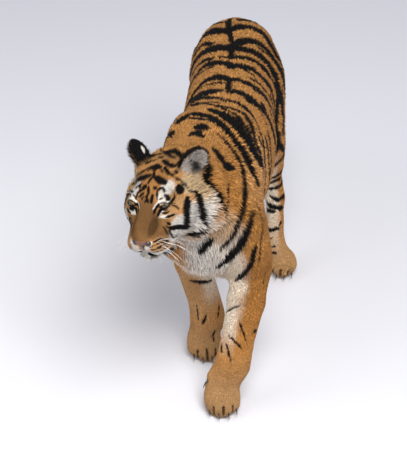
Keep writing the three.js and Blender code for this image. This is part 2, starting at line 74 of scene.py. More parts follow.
Array = np.ndarray
Point = tuple[float, float, float]
Inputs = dict[str | int, object]

CAD_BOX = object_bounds()
MM = 0.001
SEED = 44
SIDES = (1.0, -1.0)
EYE_CENTRES = {1.0: (-7.0, 57.0, 10.0), -1.0: (-4.0, -58.0, 6.0)}

log = logging.getLogger("tiger")


# ---- Fields -------------------------------------------------------------------------------------
def ramp(value: Array, start: float, end: float) -> Array:
    """Rise smoothly from 0 at start to 1 at end.

    Args:
        value: the numbers to grade.
        start: where the rise begins.
        end: where it is complete.

    Returns:
        The graded numbers, 0 to 1.
    """
    t = np.clip((value - start) / (end - start), 0.0, 1.0)
    return t * t * (3.0 - 2.0 * t)


def unit(vectors: Array) -> Array:
    """Return the vectors at length 1."""
    return vectors / np.maximum(np.linalg.norm(vectors, axis=-1, keepdims=True), 1e-9)


def ellipsoid(points: Array, centre: Point, half: Point) -> Array:
    """Distance to an ellipsoid, less than 0 inside.

    Args:
        points: where to measure, (n, 3).
        centre: the ellipsoid's middle.
        half: its half sizes.

    Returns:
        The distances.
    """
    q = points - np.array(centre, np.float32)
    near = np.linalg.norm(q / np.array(half, np.float32), axis=-1)
    slope = np.linalg.norm(q / np.array(half, np.float32) ** 2, axis=-1)
    return near * (near - 1.0) / np.maximum(slope, 1e-9)


def limb(points: Array, start: Point, end: Point, first: float, last: float) -> Array:
    """Distance to a tapered round limb.

    Args:
        points: where to measure, (n, 3).
        start: the middle of its first end.
        end: the middle of its last end.
        first: the radius at the start.
        last: the radius at the end.

    Returns:
        The distances.
    """
    a, b = np.array(start, np.float32), np.array(end, np.float32)
    t = np.clip((points - a) @ (b - a) / ((b - a) @ (b - a)), 0.0, 1.0)
    return np.linalg.norm(points - a - t[..., None] * (b - a), axis=-1) - (first + (last - first) * t)


def union(first: Array, second: Array, fillet: float) -> Array:
    """Join two fields with a fillet between them."""
    h = np.maximum(fillet - np.abs(first - second), 0.0)
    return np.minimum(first, second) - h * h / (4.0 * fillet)


def cut(body: Array, tool: Array, fillet: float) -> Array:
    """Take a tool's field out of a body's, with a rounded edge."""
    return -union(-body, tool, fillet)


def graded(low: float, high: float, fine: list[tuple[float, float, float]], coarse: float) -> Array:
    """Set stations along one axis, close together in the fine spans and wider away from them.

    Args:
        low: the first station.
        high: the last must reach this.
        fine: spans as (from, to, step).
        coarse: the widest step.

    Returns:
        The stations, rising.
    """
    growth = 0.12
    stations = [low]
    while stations[-1] < high:
        here = stations[-1]
        steps = [step + growth * max(a - here, here - b, 0.0) for a, b, step in fine]
        stations.append(here + min([coarse, *steps]))
    return np.array(stations)


def crossings(axes: list[Array]) -> Array:
    """Return every crossing of three sets of stations, (n, 3)."""
    return np.stack(np.meshgrid(*axes, indexing="ij"), -1).reshape(-1, 3).astype(np.float32)


def resample(values: Array, old: list[Array], new: list[Array]) -> Array:
    """Move a field from one lattice to another.

    Args:
        values: the field on the old lattice.
        old: the old lattice's stations on its three axes.
        new: the new lattice's.

    Returns:
        The field on the new lattice.
    """
    for axis, (have, want) in enumerate(zip(old, new)):
        i = np.clip(np.searchsorted(have, want) - 1, 0, len(have) - 2)
        w = np.clip((want - have[i]) / (have[i + 1] - have[i]), 0.0, 1.0).astype(np.float32)
        shape = [1, 1, 1]
        shape[axis] = len(w)
        w = w.reshape(shape)
        values = np.take(values, i, axis) * (1 - w) + np.take(values, i + 1, axis) * w
    return values


@dataclass
class Lattice:
    """A field held on the crossings of three sets of stations."""

    axes: list[Array]
    values: Array

    def at(self, points: Array) -> Array:
        """Read the field between the crossings.

        Args:
            points: where to read it, (n, 3).

        Returns:
            The field's values.
        """
        base, part = [], []
        for axis, stations in enumerate(self.axes):
            place = np.interp(points[:, axis], stations, np.arange(len(stations)))
            i = np.minimum(place.astype(int), len(stations) - 2)
            base.append(i)
            part.append((place - i).astype(np.float32))
        total = np.zeros(len(points), np.float32)
        for corner in range(8):
            step = [corner >> k & 1 for k in range(3)]
            weight = np.ones(len(points), np.float32)
            for k in range(3):
                weight *= part[k] if step[k] else 1.0 - part[k]
            total += weight * self.values[base[0] + step[0], base[1] + step[1], base[2] + step[2]]
        return total

    def slope(self, points: Array, reach: float) -> Array:
        """Measure the field's gradient.

        Args:
            points: where to measure it, (n, 3).
            reach: how far to each side the samples are.

        Returns:
            The gradients, (n, 3).
        """
        steps = np.eye(3, dtype=np.float32) * reach
        parts = [self.at(points + s) - self.at(points - s) for s in steps]
        return np.stack(parts, -1) / (2.0 * reach)

    def surface(self, reach: float) -> tuple[Array, Array]:
        """Mesh the field's zero surface.

        Args:
            reach: how far apart the samples that settle each point are.

        Returns:
            The points, settled on the surface, and the quads.
        """
        grid = openvdb.FloatGrid(1.0)
        grid.copyFromArray(np.ascontiguousarray(self.values))
        points, quads = grid.convertToQuads()
        places = [np.interp(points[:, k], np.arange(len(s)), s) for k, s in enumerate(self.axes)]
        points = np.stack(places, -1).astype(np.float32)
        for _ in range(3):
            slope = self.slope(points, reach)
            step = self.at(points) / np.maximum((slope**2).sum(-1), 0.2)
            points -= (np.clip(step, -reach, reach)[:, None] * slope) * 0.8
        return points, quads[:, ::-1]


# ---- The animal's axes --------------------------------------------------------------------------
@dataclass(frozen=True)
class HeadAxes:
    """Where the head is: its origin by the eyes, and its forward, left and up."""

    yaw: float = 25.5
    pitch: float = 7.0
    roll: float = 7.6

    @property
    def origin(self) -> Array:
        """Find the point about which the head is laid out.

        Returns:
            The point, in metres.
        """
        corners = [corner for name in ("eye_left", "eye_right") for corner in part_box(name)]
        middle = np.mean(list(EYE_CENTRES.values()), 0) * MM
        return (np.array(corners).mean(0) - middle @ self.axes).astype(np.float32)

    @property
    def axes(self) -> Array:
        """Turn the head.

        Returns:
            Its forward, left and up as the rows of a matrix.
        """
        yaw, pitch, roll = (math.radians(a) for a in (self.yaw, self.pitch, self.roll))
        forward = np.array(
            [-math.sin(yaw) * math.cos(pitch), -math.cos(yaw) * math.cos(pitch), -math.sin(pitch)]
        )
        flat = np.array([math.cos(yaw), -math.sin(yaw), 0.0])
        left = flat * math.cos(roll) + np.cross(forward, flat) * math.sin(roll)
        return np.array([forward, left, np.cross(forward, left)], np.float32)


class Stance:
    """Turns places written on the skeleton or on the head into places in the frame, and back."""

    EYES = (-179.0, -858.0, 870.0)

    def __init__(self) -> None:
        """Read where the frame's eyes are."""
        head = HeadAxes()
        self.eyes, self.axes = head.origin, head.axes

    def body(self, point: Point | Array) -> Array:
        """Return a skeleton point, or points, in metres in the frame."""
        return (np.array(point, np.float32) - np.array(self.EYES, np.float32)) * MM + self.eyes

    def on_body(self, points: Array) -> Array:
        """Return frame points in millimetres on the skeleton's axes."""
        return (points - self.eyes) / MM + np.array(self.EYES, np.float32)

    def head(self, point: Point | Array) -> Array:
        """Return a head point, or points, in metres in the frame."""
        return (np.array(point, np.float32) * MM) @ self.axes + self.eyes

    def on_head(self, points: Array) -> Array:
        """Return frame points in millimetres on the head's axes."""
        return (points - self.eyes) @ self.axes.T / MM

    def turned(self, way: Point | Array) -> Array:
        """Return a direction on the head's axes as one in the frame."""
        return np.array(way, np.float32) @ self.axes


STANCE = Stance()


def spine_x(y: Array) -> Array:
    """Return how far left the back's middle lies at a station, in millimetres on the skeleton."""
    return 92.0 + 36.0 * ramp(y, 0, 520) - 98.0 * ramp(-y, 40, 760) - 20.0 * ramp(-y, 480, 800)


@dataclass(frozen=True)
class Leg:
    """One leg's joints from its root down, on the skeleton, and its paw's turn in degrees."""

    name: str
    side: float
    joints: tuple[Point, Point, Point, Point, Point]
    heading: float


LEGS = (
    Leg("fore_left", 1,
        ((108, -560, 735), (130, -632, 650), (172, -590, 455), (104, -752, 165), (64, -790, 0)), 5),
    Leg("fore_right", -1,
        ((-92, -510, 735), (-116, -580, 650), (-57, -402, 462), (13, -420, 168), (1, -446, 0)), 10),
    Leg("hind_left", 1,
        ((200, 350, 720), (234, 190, 520), (280, 240, 275), (282, 142, 92), (309, 108, 0)), -8),
    Leg("hind_right", -1,
        ((75, 390, 720), (52, 275, 508), (46, 532, 300), (52, 482, 96), (54, 450, 0)), 4),
)
TAIL = ((127, 520, 815), (127, 640, 735), (122, 712, 590), (106, 742, 430), (90, 785, 290), (76, 875, 200),
        (68, 985, 205), (64, 1070, 262))


# ---- How the hair lies --------------------------------------------------------------------------
class Region(Enum):
    """The coat's pieces."""

    FACE = "coat_face"
    CROWN = "coat_crown"
    EARS = "coat_ears"
    RUFF_LEFT = "coat_ruff_left"
    RUFF_RIGHT = "coat_ruff_right"
    NECK = "coat_neck"
    CHEST = "coat_chest"
    BACK = "coat_back"
    SIDE_LEFT = "coat_side_left"
    SIDE_RIGHT = "coat_side_right"
    BELLY = "coat_belly"
    FORE_LEFT = "coat_fore_left"
    FORE_RIGHT = "coat_fore_right"
    HIND_LEFT = "coat_hind_left"
    HIND_RIGHT = "coat_hind_right"
    TAIL = "coat_tail"


@dataclass(frozen=True)
class Lay:
    """How the hair lies at one place: its way, and a lock's length, width and lift off the skin."""

    at: Array
    way: Array
    length: float
    lift: float
    width: float
    region: Region


def on_head(at: Point, way: Point, length: float, lift: float, width: float, region: Region) -> Lay:
    """Return a lay written on the head's axes, in millimetres and degrees."""
    return Lay(STANCE.head(at), STANCE.turned(way), length * MM, math.radians(lift), width * MM, region)


def on_body(at: Point, way: Point, length: float, lift: float, width: float, region: Region) -> Lay:
    """Return a lay written on the skeleton's axes, in millimetres and degrees."""
    aim = np.array(way, np.float32)
    return Lay(STANCE.body(at), aim, length * MM, math.radians(lift), width * MM, region)


def head_lays() -> list[Lay]:
    """Set how the hair lies on the head.

    Returns:
        The head's lays.
    """
    face, crown = Region.FACE, Region.CROWN
    lays = [
        on_head((96, 0, -55), (-1, 0, 0.45), 4, 12, 1.20, face),
        on_head((60, 0, -22), (-1, 0, 0.45), 6, 12, 1.36, face),
        on_head((15, 0, 12), (-1, 0, 0.4), 8, 12, 1.44, face),
        on_head((-25, 0, 48), (-1, 0, 0.3), 12, 14, 1.60, face),
        on_head((-80, 0, 84), (-1, 0, 0.1), 14, 16, 1.7, crown),
        on_head((-130, 0, 96), (-1, 0, -0.1), 17, 18, 1.9, crown),
        on_head((-185, 0, 80), (-1, 0, -0.3), 22, 20, 2.2, crown),
        on_head((92, 0, -165), (-0.6, 0, -0.8), 20, 32, 2.2, face),
        on_head((40, 0, -180), (-0.8, 0, -0.6), 30, 32, 2.6, face),
        on_head((-50, 0, -190), (-0.9, 0, -0.5), 44, 30, 2.2, Region.CHEST),
    ]
    for side in SIDES:
        ruff = Region.RUFF_LEFT if side > 0 else Region.RUFF_RIGHT
        ear = Region.EARS
        lays += [
            on_head((85, side * 25, -75), (-0.9, side * 0.4, 0.1), 5, 12, 1.20, face),
            on_head((92, side * 22, -105), (-0.6, side * 0.8, -0.2), 6, 14, 1.20, face),
            on_head((70, side * 62, -100), (-1, side * 0.4, -0.15), 9, 16, 1.36, face),
            on_head((60, side * 55, -130), (-0.8, side * 0.3, -0.6), 12, 22, 1.44, face),
            on_head((40, side * 35, -45), (-1, side * 0.35, 0.2), 6, 12, 1.36, face),
            on_head((12, side * 46, -22), (-1, side * 0.5, -0.1), 6, 12, 1.28, face),
            on_head((15, side * 68, -60), (-1, side * 0.45, -0.2), 9, 14, 1.52, face),
            on_head((2, side * 50, 24), (-0.9, side * 0.3, 0.45), 8, 16, 1.36, face),
            on_head((-25, side * 62, 34), (-1, side * 0.35, 0.2), 12, 16, 1.60, face),
            on_head((-22, side * 84, 4), (-1, side * 0.5, -0.05), 10, 14, 1.52, face),
            on_head((-75, side * 70, 70), (-1, side * 0.3, 0.1), 16, 16, 2.0, crown),
            on_head((-45, side * 98, -45), (-1, side * 0.4, -0.35), 18, 18, 2.4, face),
            on_head((-10, side * 82, -100), (-0.9, side * 0.35, -0.5), 22, 22, 2.4, face),
            on_head((20, side * 55, -160), (-0.8, side * 0.3, -0.7), 26, 28, 2.6, face),
            on_head((-90, side * 120, 0), (-1, side * 0.4, -0.3), 26, 20, 3.0, ruff),
            on_head((-90, side * 135, -80), (-0.9, side * 0.45, -0.55), 42, 28, 2.2, ruff),
            on_head((-70, side * 105, -150), (-0.75, side * 0.4, -0.8), 46, 30, 2.2, ruff),
            on_head((-150, side * 165, -110), (-0.8, side * 0.4, -0.7), 60, 30, 2.7, ruff),
            on_head((-140, side * 120, -190), (-0.7, side * 0.3, -0.9), 60, 32, 2.7, ruff),
            on_head((-190, side * 140, -20), (-1, side * 0.3, -0.4), 42, 24, 2.5, ruff),
            on_head((-185, side * 100, 60), (-1, side * 0.2, -0.2), 26, 18, 2.1, Region.NECK),
            on_head((-172, side * 95, 110), (-0.3, side * 0.4, 0.9), 9, 14, 2.2, ear),
            on_head((-188, side * 115, 150), (-0.3, side * 0.46, 0.84), 8, 14, 2.2, ear),
            on_head((-128, side * 108, 100), (0.1, side * 0.75, 0.65), 24, 38, 2.4, ear),
            on_head((-150, side * 130, 140), (-0.1, side * 0.5, 0.85), 16, 32, 2.2, ear),
        ]
    return lays


def body_lays() -> list[Lay]:
    """Set how the hair lies on the neck, the trunk, the legs and the tail.

    Returns:
        The body's lays.
    """
    neck, chest, back = Region.NECK, Region.CHEST, Region.BACK
    left, right = Region.SIDE_LEFT, Region.SIDE_RIGHT
    lays = [
        on_body((-40, -640, 930), (0, 1, -0.1), 26, 16, 2.5, neck),
        on_body((40, -660, 850), (0.2, 0.9, -0.5), 26, 16, 2.5, neck),
        on_body((60, -700, 740), (0.2, 0.5, -0.9), 34, 20, 3.0, neck),
        on_body((-180, -620, 870), (-0.2, 0.9, -0.4), 26, 16, 2.5, neck),
        on_body((-230, -640, 780), (-0.2, 0.7, -0.7), 34, 20, 3.0, neck),
        on_body((-40, -780, 640), (0, 0, -1), 46, 24, 2.7, chest),
        on_body((20, -740, 560), (0, 0.2, -1), 44, 24, 2.7, chest),
        on_body((-20, -600, 480), (0, 0.6, -0.8), 46, 26, 2.7, chest),
        on_body((-120, -700, 600), (-0.1, 0.2, -1), 44, 24, 2.7, chest),
        on_body((-14, -420, 968), (0, 1, 0), 24, 14, 4.4, back),
        on_body((70, -160, 930), (0, 1, -0.05), 26, 13, 4.6, back),
        on_body((92, 60, 915), (0, 1, 0), 26, 13, 4.6, back),
        on_body((112, 300, 925), (0, 1, 0), 24, 13, 4.6, back),
        on_body((124, 480, 890), (0, 0.9, -0.4), 24, 13, 4.6, back),
        on_body((130, 580, 760), (0, 0.4, -0.9), 26, 15, 4.4, back),
        on_body((110, -250, 470), (0, 1, -0.15), 50, 26, 5.0, Region.BELLY),
        on_body((90, 0, 465), (0, 1, -0.15), 60, 28, 5.0, Region.BELLY),
        on_body((110, 230, 500), (0, 1, -0.2), 50, 26, 5.0, Region.BELLY),
    ]
    for side, region in ((1.0, left), (-1.0, right)):
        for y, out, z, down in (
            (-480, 150, 800, 0.8), (-460, 170, 680, 0.9), (-260, 165, 800, 0.5), (-220, 175, 640, 0.35),
            (0, 170, 800, 0.4), (0, 176, 640, 0.3), (220, 165, 800, 0.5), (300, 170, 680, 0.7),
        ):
            spine = float(spine_x(np.float32(y)))
            lays.append(on_body((spine + side * out, y, z), (side * 0.12, 1, -down), 26, 14, 4.6, region))
    for leg in LEGS:
        lays += leg_lays(leg)
    for here, there in zip(TAIL[:-1], TAIL[1:]):
        way = np.subtract(there, here)
        lays.append(on_body(here, tuple(way / np.linalg.norm(way)), 34, 22, 4.4, Region.TAIL))
    return lays


def leg_lays(leg: Leg) -> list[Lay]:
    """Set how the hair lies down one leg and over its paw.

    Args:
        leg: the leg.

    Returns:
        Its lays.
    """
    region = Region[leg.name.upper()]
    root, knee, hock, wrist, paw = (np.array(j, float) for j in leg.joints)
    turn = math.radians(leg.heading)
    ahead = np.array([-math.sin(turn), -math.cos(turn), 0.0])
    lays = []
    for here, there, length, width in (
        (root, knee, 20, 4.2), (knee, hock, 16, 3.8), ((knee + hock) / 2, hock, 14, 3.6),
        (hock, wrist, 12, 3.2), ((hock + wrist) / 2, wrist, 10, 3.0),
    ):
        way = unit(there - here) + np.array([0.0, 0.25, -0.5])
        lays.append(on_body(tuple(here), tuple(unit(way)), length, 12, width, region))
    lays += [
        on_body(tuple(wrist), tuple(unit(ahead * 0.3 + np.array([0, 0, -1.0]))), 8, 12, 2.6, region),
        on_body(tuple(paw + ahead * 10 + np.array([0, 0, 60.0])), tuple(unit(ahead - np.array([0, 0, 0.5]))),
                7, 14, 2.3, region),
        on_body(tuple(paw + ahead * 60 + np.array([0, 0, 35.0])), tuple(unit(ahead - np.array([0, 0, 0.9]))),
                6, 16, 2.1, region),
    ]
    if leg.name.startswith("hind"):
        thigh = root + np.array([leg.side * 20, 60, -120.0])
        lays.append(on_body(tuple(thigh), (0, 0.2, -1), 24, 14, 4.4, region))
    return lays


class Groom:
    """Blends the lays into one coat: a near lay counts most, and no closer than BLEND metres."""

    BLEND = 0.02
    CHUNK = 20000
    SPARE = 0.0025

    def __init__(self) -> None:
        """Gather the lays of head and body."""
        self.lays = head_lays() + body_lays()
        self.at = np.array([lay.at for lay in self.lays], np.float32)
        self.way = np.array([lay.way for lay in self.lays], np.float32)
        self.sizes = np.array([(lay.length, lay.lift, lay.width) for lay in self.lays], np.float32)
        self.regions = [lay.region for lay in self.lays]

    def weights(self, points: Array) -> Array:
        """Weigh the lays at points.

        Args:
            points: the points, (n, 3).

        Returns:
            How much each lay counts at each point, (n, lays).
        """
        gap = ((points[:, None, :] - self.at[None]) ** 2).sum(-1)
        weight = 1.0 / (gap + self.BLEND**2) ** 2
        return weight / weight.sum(1, keepdims=True)

    def of(self, points: Array, normals: Array) -> tuple[Array, Array, Array]:
        """Blend the lays at points of the skin.

        Args:
            points: the points, (n, 3).
            normals: the skin's normals there.

        Returns:
            The hair's way along the skin, its length, lift and width, and the index of its main lay.
        """
        ways, sizes, mains = [], [], []
        for start in range(0, len(points), self.CHUNK):
            part = slice(start, start + self.CHUNK)
            weight = self.weights(points[part])
            way = weight @ self.way
            way -= (way * normals[part]).sum(-1, keepdims=True) * normals[part]
            ways.append(unit(way))
            sizes.append(weight @ self.sizes)
            mains.append(weight.argmax(1))
        return np.concatenate(ways), np.concatenate(sizes), np.concatenate(mains)

    def depth(self, points: Array) -> Array:
        """Measure how deep the skin lies under the coat's tips.

        Args:
            points: the points, (n, 3).

        Returns:
            The depths, in metres.
        """
        depths = self.sizes[:, 0] * np.sin(self.sizes[:, 1]) + self.SPARE
        starts = range(0, len(points), self.CHUNK)
        return np.concatenate([self.weights(points[s:s + self.CHUNK]) @ depths for s in starts])


# ---- The skin -----------------------------------------------------------------------------------
def triangles_of(objects: list[bpy.types.Object]) -> tuple[Array, Array]:
    """Gather the triangles of several mesh objects.

    Args:
        objects: the objects.

    Returns:
        All their points, and the triangles' point numbers.
    """
    points, faces, start = [], [], 0
    for thing in objects:
        mesh = thing.data
        mesh.calc_loop_triangles()
        co = np.empty(len(mesh.vertices) * 3, np.float32)
        mesh.vertices.foreach_get("co", co)
        tri = np.empty(len(mesh.loop_triangles) * 3, np.int32)
        mesh.loop_triangles.foreach_get("vertices", tri)
        points.append(co.reshape(-1, 3))
        faces.append(tri.reshape(-1, 3) + start)
        start += len(mesh.vertices)
    return np.concatenate(points), np.concatenate(faces)


def linked(name: str, data: bpy.types.ID) -> bpy.types.Object:
    """Put a mesh, a lamp or a camera in the scene.

    Args:
        name: the object's name.
        data: what it shows.

    Returns:
        The object.
    """
    thing = bpy.data.objects.new(name, data)
    bpy.context.scene.collection.objects.link(thing)
    return thing


def made(name: str, points: Array, faces: Array, smooth: bool = True) -> bpy.types.Object:
    """Make a mesh object of faces that all have the same number of corners.

    Args:
        name: the object's name.
        points: its points, in metres.
        faces: the faces' point numbers, (n, corners).
        smooth: whether its faces shade smoothly.

    Returns:
        The object, linked to the scene.
    """
    mesh = bpy.data.meshes.new(name)
    corners = faces.shape[1]
    mesh.vertices.add(len(points))
    mesh.vertices.foreach_set("co", points.astype(np.float32).ravel())
    mesh.loops.add(faces.size)
    mesh.loops.foreach_set("vertex_index", faces.astype(np.int32).ravel())
    mesh.polygons.add(len(faces))
    mesh.polygons.foreach_set("loop_start", np.arange(0, faces.size, corners, dtype=np.int32))
    mesh.polygons.foreach_set("use_smooth", np.full(len(faces), smooth))
    mesh.update(calc_edges=True)
    return linked(name, mesh)


def blurred(values: Array, passes: int) -> Array:
    """Soften a field with a 1-2-1 filter on each axis.

    Args:
        values: the field on an even lattice.
        passes: how many times it is filtered.

    Returns:
        The softer field.
    """
    for _ in range(passes):
        for axis in range(3):
            ahead = np.roll(values, 1, axis)
            behind = np.roll(values, -1, axis)
            values = 0.5 * values + 0.25 * (ahead + behind)
    return values


@dataclass
class Skin:
    """The one skin of the whole animal, from its lips to the tail's tip."""

    groom: Groom
    voxel: float = 0.006
    band: int = 11
    gap: float = 0.0015
    head_reach: float = 0.33
    face_step: float = 0.0035
    body_step: float = 0.0126
    paw_step: float = 0.006
    lattice: Lattice = field(init=False)
    points: Array = field(init=False)
    quads: Array = field(init=False)
    normals: Array = field(init=False)

    def flesh(self, names: list[str]) -> Lattice:
        """Measure the distance to the solids of flesh, with their thin gaps closed.

        Args:
            names: the nodes.

        Returns:
            The distance on an even lattice.
        """
        points, faces = triangles_of([frame["nodes"][name] for name in names])
        fine = openvdb.createLinearTransform(voxelSize=0.004)
        shell = openvdb.FloatGrid.createLevelSetFromPolygons(points, faces, transform=fine, halfWidth=3)
        points, quads = shell.convertToQuads(isovalue=self.gap)
        even = openvdb.createLinearTransform(voxelSize=self.voxel)
        grid = openvdb.FloatGrid.createLevelSetFromPolygons(
            points, quads=quads, transform=even, halfWidth=self.band
        )
        low = np.floor(points.min(0) / self.voxel).astype(int) - 6
        high = np.ceil(points.max(0) / self.voxel).astype(int) + 7
        values = np.empty(tuple(high - low), np.float32)
        grid.copyToArray(values, ijk=tuple(int(v) for v in low))
        axes = [(low[k] + np.arange(high[k] - low[k])) * self.voxel for k in range(3)]
        return Lattice(axes, values + self.gap)

    def build(self) -> bpy.types.Object:
        """Make the skin and stand it for every node of flesh.

        Returns:
            The skin's object.
        """
        names = [s["node"] for s in frame["record"]["subparts"] if s["material_slot"] == "coat"]
        headless = [n for n in names if n not in ("head", "lower_jaw", "ear_left", "ear_right")]
        rough = self.flesh(headless)
        near = blurred(rough.values, 1)
        far = blurred(near, 4)
        height = rough.axes[2][None, None, :]
        soft = ramp(height, 0.05, 0.35)
        body = Lattice(rough.axes, near * (1 - soft) + far * soft)
        low, high = np.array(CAD_BOX[0]) - 0.015, np.array(CAD_BOX[1]) + 0.015
        eyes, toes = STANCE.eyes, STANCE.body(LEGS[0].joints[-1])
        axes = [
            graded(low[0], high[0], [(eyes[0] - 0.15, eyes[0] + 0.15, self.face_step),
                                     (toes[0] - 0.07, toes[0] + 0.07, self.paw_step)], self.body_step),
            graded(low[1], high[1], [(low[1], eyes[1] + 0.2, self.face_step)], self.body_step),
            graded(low[2], high[2], [(low[2], 0.11, self.paw_step),
                                     (eyes[2] - 0.17, eyes[2] + 0.12, self.face_step)], self.body_step),
        ]
        values = resample(body.values, body.axes, axes)
        span = [(eyes[k] - self.head_reach, eyes[k] + self.head_reach) for k in range(3)]
        block = tuple(slice(*np.searchsorted(axes[k], span[k])) for k in range(3))
        inside = [axes[k][block[k]] for k in range(3)]
        nodes = crossings(inside)
        local = STANCE.on_head(nodes)
        shape = tuple(len(a) for a in inside)
        head = head_form(local) * MM
        values[block] = union(values[block], head.reshape(shape), 0.03)
        coarse = [np.arange(low[k], high[k] + 0.02, 0.02) for k in range(3)]
        knots = crossings(coarse)
        depth = self.groom.depth(knots) * ramp(knots[:, 2], 0.0, 0.02)
        depth = depth.reshape(tuple(len(a) for a in coarse))
        values += resample(depth.astype(np.float32), coarse, axes)
        values = self.part_toes(axes, values)
        detailed = head_details(local, values[block].reshape(-1) / MM) * MM
        values[block] = detailed.reshape(shape)
        self.lattice = Lattice(axes, values)
        self.points, self.quads = self.lattice.surface(0.002)
        self.points[:, 2] = np.maximum(self.points[:, 2], 0.0006)
        self.normals = unit(self.lattice.slope(self.points, 0.003))
        skin = made("skin", self.points, self.quads)
        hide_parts(*names)
        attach(skin, "root")
        return skin

    def part_toes(self, axes: list[Array], values: Array) -> Array:
        """Cut the furrows between the toes.

        Args:
            axes: the lattice's stations.
            values: the skin's field.

        Returns:
            The field with the furrows.
        """
        for leg in LEGS:
            paw = STANCE.body(leg.joints[-1])
            reach = np.array([0.12, 0.16, 0.14])
            span = np.stack([paw - reach, paw + reach], -1)
            block = tuple(slice(*np.searchsorted(axes[k], span[k])) for k in range(3))
            inside = [axes[k][block[k]] for k in range(3)]
            nodes = crossings(inside)
            gaps = toe_gaps(leg, STANCE.on_body(nodes)) * MM
            values[block] = cut(values[block], gaps.reshape(values[block].shape), 0.008)
        return values


def toe_gaps(leg: Leg, body: Array) -> Array:
    """Measure the distance to the furrows between a paw's toes.

    Args:
        leg: the leg.
        body: places on the skeleton, in millimetres.

    Returns:
        The distances in millimetres, less than 0 in a furrow.
    """
    turn = math.radians(leg.heading)
    paw = np.array(leg.joints[-1])
    left = np.array([math.cos(turn), math.sin(turn), 0])
    back = np.array([-math.sin(turn), math.cos(turn), 0])
    share = 1.0 if leg.name.startswith("fore") else 0.9
    narrow, wide = 3.6, 4.2
    parts = []
    for across, front in ((-31, -56), (0, -70), (31, -56)):
        path = [paw + share * (left * (across * k) + back * y) + (0, 0, share * z)
                for k, y, z in ((0.75, 6, 88), (0.9, front + 34, 66), (1.0, front, 40), (1.0, front - 12, 8))]
        parts += [limb(body, tuple(a), tuple(b), narrow, wide) for a, b in zip(path[:-1], path[1:])]
    return np.minimum.reduce(parts)


def unturned(p: Array) -> Array:
    """Return places on the head's axes with the muzzle's slight turn to the left taken out."""
    return np.stack([p[:, 0], p[:, 1] - 0.07 * np.maximum(p[:, 0], 0.0), p[:, 2]], -1)


def head_form(p: Array) -> Array:
    """Shape the head out to the coat's tips.

    Args:
        p: places on the head's axes, in millimetres.

    Returns:
        The distances to the head, in millimetres.
    """
    p = unturned(p)
    face = [
        ellipsoid(p, (-122, 0, 10), (122, 92, 88)),
        ellipsoid(p, (-46, 0, 18), (64, 66, 42)),
        limb(p, (-20, 0, -14), (74, 0, -58), 48, 37),
        ellipsoid(p, (46, 0, -84), (62, 56, 50)),
        ellipsoid(p, (50, 0, -148), (46, 44, 28)),
        limb(p, (24, 0, -126), (-100, 0, -122), 44, 68),
    ]
    ruff = [ellipsoid(p, (-185, 0, -40), (84, 110, 108))]
    for side in SIDES:
        face += [
            ellipsoid(p, (62, side * 40, -104), (44, 35, 37)),
            ellipsoid(p, (18, side * 56, -112), (42, 32, 34)),
            ellipsoid(p, (24, side * 56, -146), (40, 27, 23)),
            ellipsoid(p, (-27, side * 51, 27), (28, 30, 17)),
            limb(p, (-10, side * 59, -40), (-84, side * 90, -32), 36, 42),
            ellipsoid(p, (10, side * 42, -86), (50, 34, 42)),
        ]
        ruff += [
            ellipsoid(p, (-72, side * 78, -82), (66, 58, 66)),
            ellipsoid(p, (-146, side * 116, -98), (62, 66, 96)),
            ellipsoid(p, (-116, side * 66, -146), (64, 62, 52)),
            ellipsoid(p, (-146, side * 74, 38), (44, 34, 38)),
        ]
    whole = face[0]
    for form in face[1:]:
        whole = union(whole, form, 24)
    for form in ruff:
        whole = union(whole, form, 56)
    return whole


EAR_CUP = ((28, 0, 44), (36, 42, 49))


def ear_axes(side: float) -> tuple[Array, Array]:
    """Place an ear: the left one faces forward, the right one is swivelled back.

    Args:
        side: 1 for the left ear, -1 for the right.

    Returns:
        Its root and its open, across and up directions, on the head's axes.
    """
    up = unit(np.array([-0.3, side * 0.46, 0.84]))
    opening = np.array([0.5, 0.84, -0.1]) if side > 0 else np.array([0.16, -0.97, -0.1])
    across = unit(np.cross(up, opening))
    return np.array([-148.0, side * 81.0, 47.0]), np.array([np.cross(across, up), across, up])


def ear_form(p: Array, side: float) -> Array:
    """Shape an ear's thin cupped blade.

    Args:
        p: places on the head's axes, in millimetres.
        side: 1 for the left ear, -1 for the right.

    Returns:
        The distances to the blade, in millimetres.
    """
    root, axes = ear_axes(side)
    q = (p - root.astype(np.float32)) @ axes.T.astype(np.float32)
    blade = union(ellipsoid(q, (0, 0, 44), (20, 53, 57)), ellipsoid(q, (-2, 0, 4), (26, 44, 30)), 14)
    return cut(blade, ellipsoid(q, *EAR_CUP), 8)


@dataclass(frozen=True)
class EyeShape:
    """An eye's place on the head and the cut of its lids, in millimetres."""

    radius: float = 17.0
    lid: float = 2.6
    half_length: float = 16.5
    upper: float = 7.0
    lower: float = 3.0

    def axes(self, side: float) -> Array:
        """Aim the eye.

        Args:
            side: 1 for the left eye, -1 for the right.

        Returns:
            Its gaze, its way to the outer corner and its up, as rows on the head's axes.
        """
        gaze = unit(np.array([0.8, side * 0.56, 0.06]))
        outwards = np.array([-0.52, side * 0.8, 0.26])
        outwards = unit(outwards - (outwards @ gaze) * gaze)
        up = np.cross(gaze, outwards) * side
        return np.array([gaze, outwards, up], np.float32)

    def opening(self, p: Array, side: float) -> tuple[Array, Array]:
        """Measure the opening between the lids.

        Args:
            p: places on the head's axes, in millimetres.
            side: 1 for the left eye, -1 for the right.

        Returns:
            The distance to the opening's edge seen along the gaze, less than 0 inside, and the places
            on the eye's own axes.
        """
        q = (p - np.array(EYE_CENTRES[side], np.float32)) @ self.axes(side).T
        mean = (self.upper + self.lower) / 2
        curve = (self.half_length**2 + mean**2) / (2 * mean)
        out, up = q[:, 1], q[:, 2] - (self.upper - self.lower) / 2
        edge = np.maximum(np.hypot(out, up + curve - mean), np.hypot(out, up - curve + mean)) - curve
        return edge, q


EYE = EyeShape()


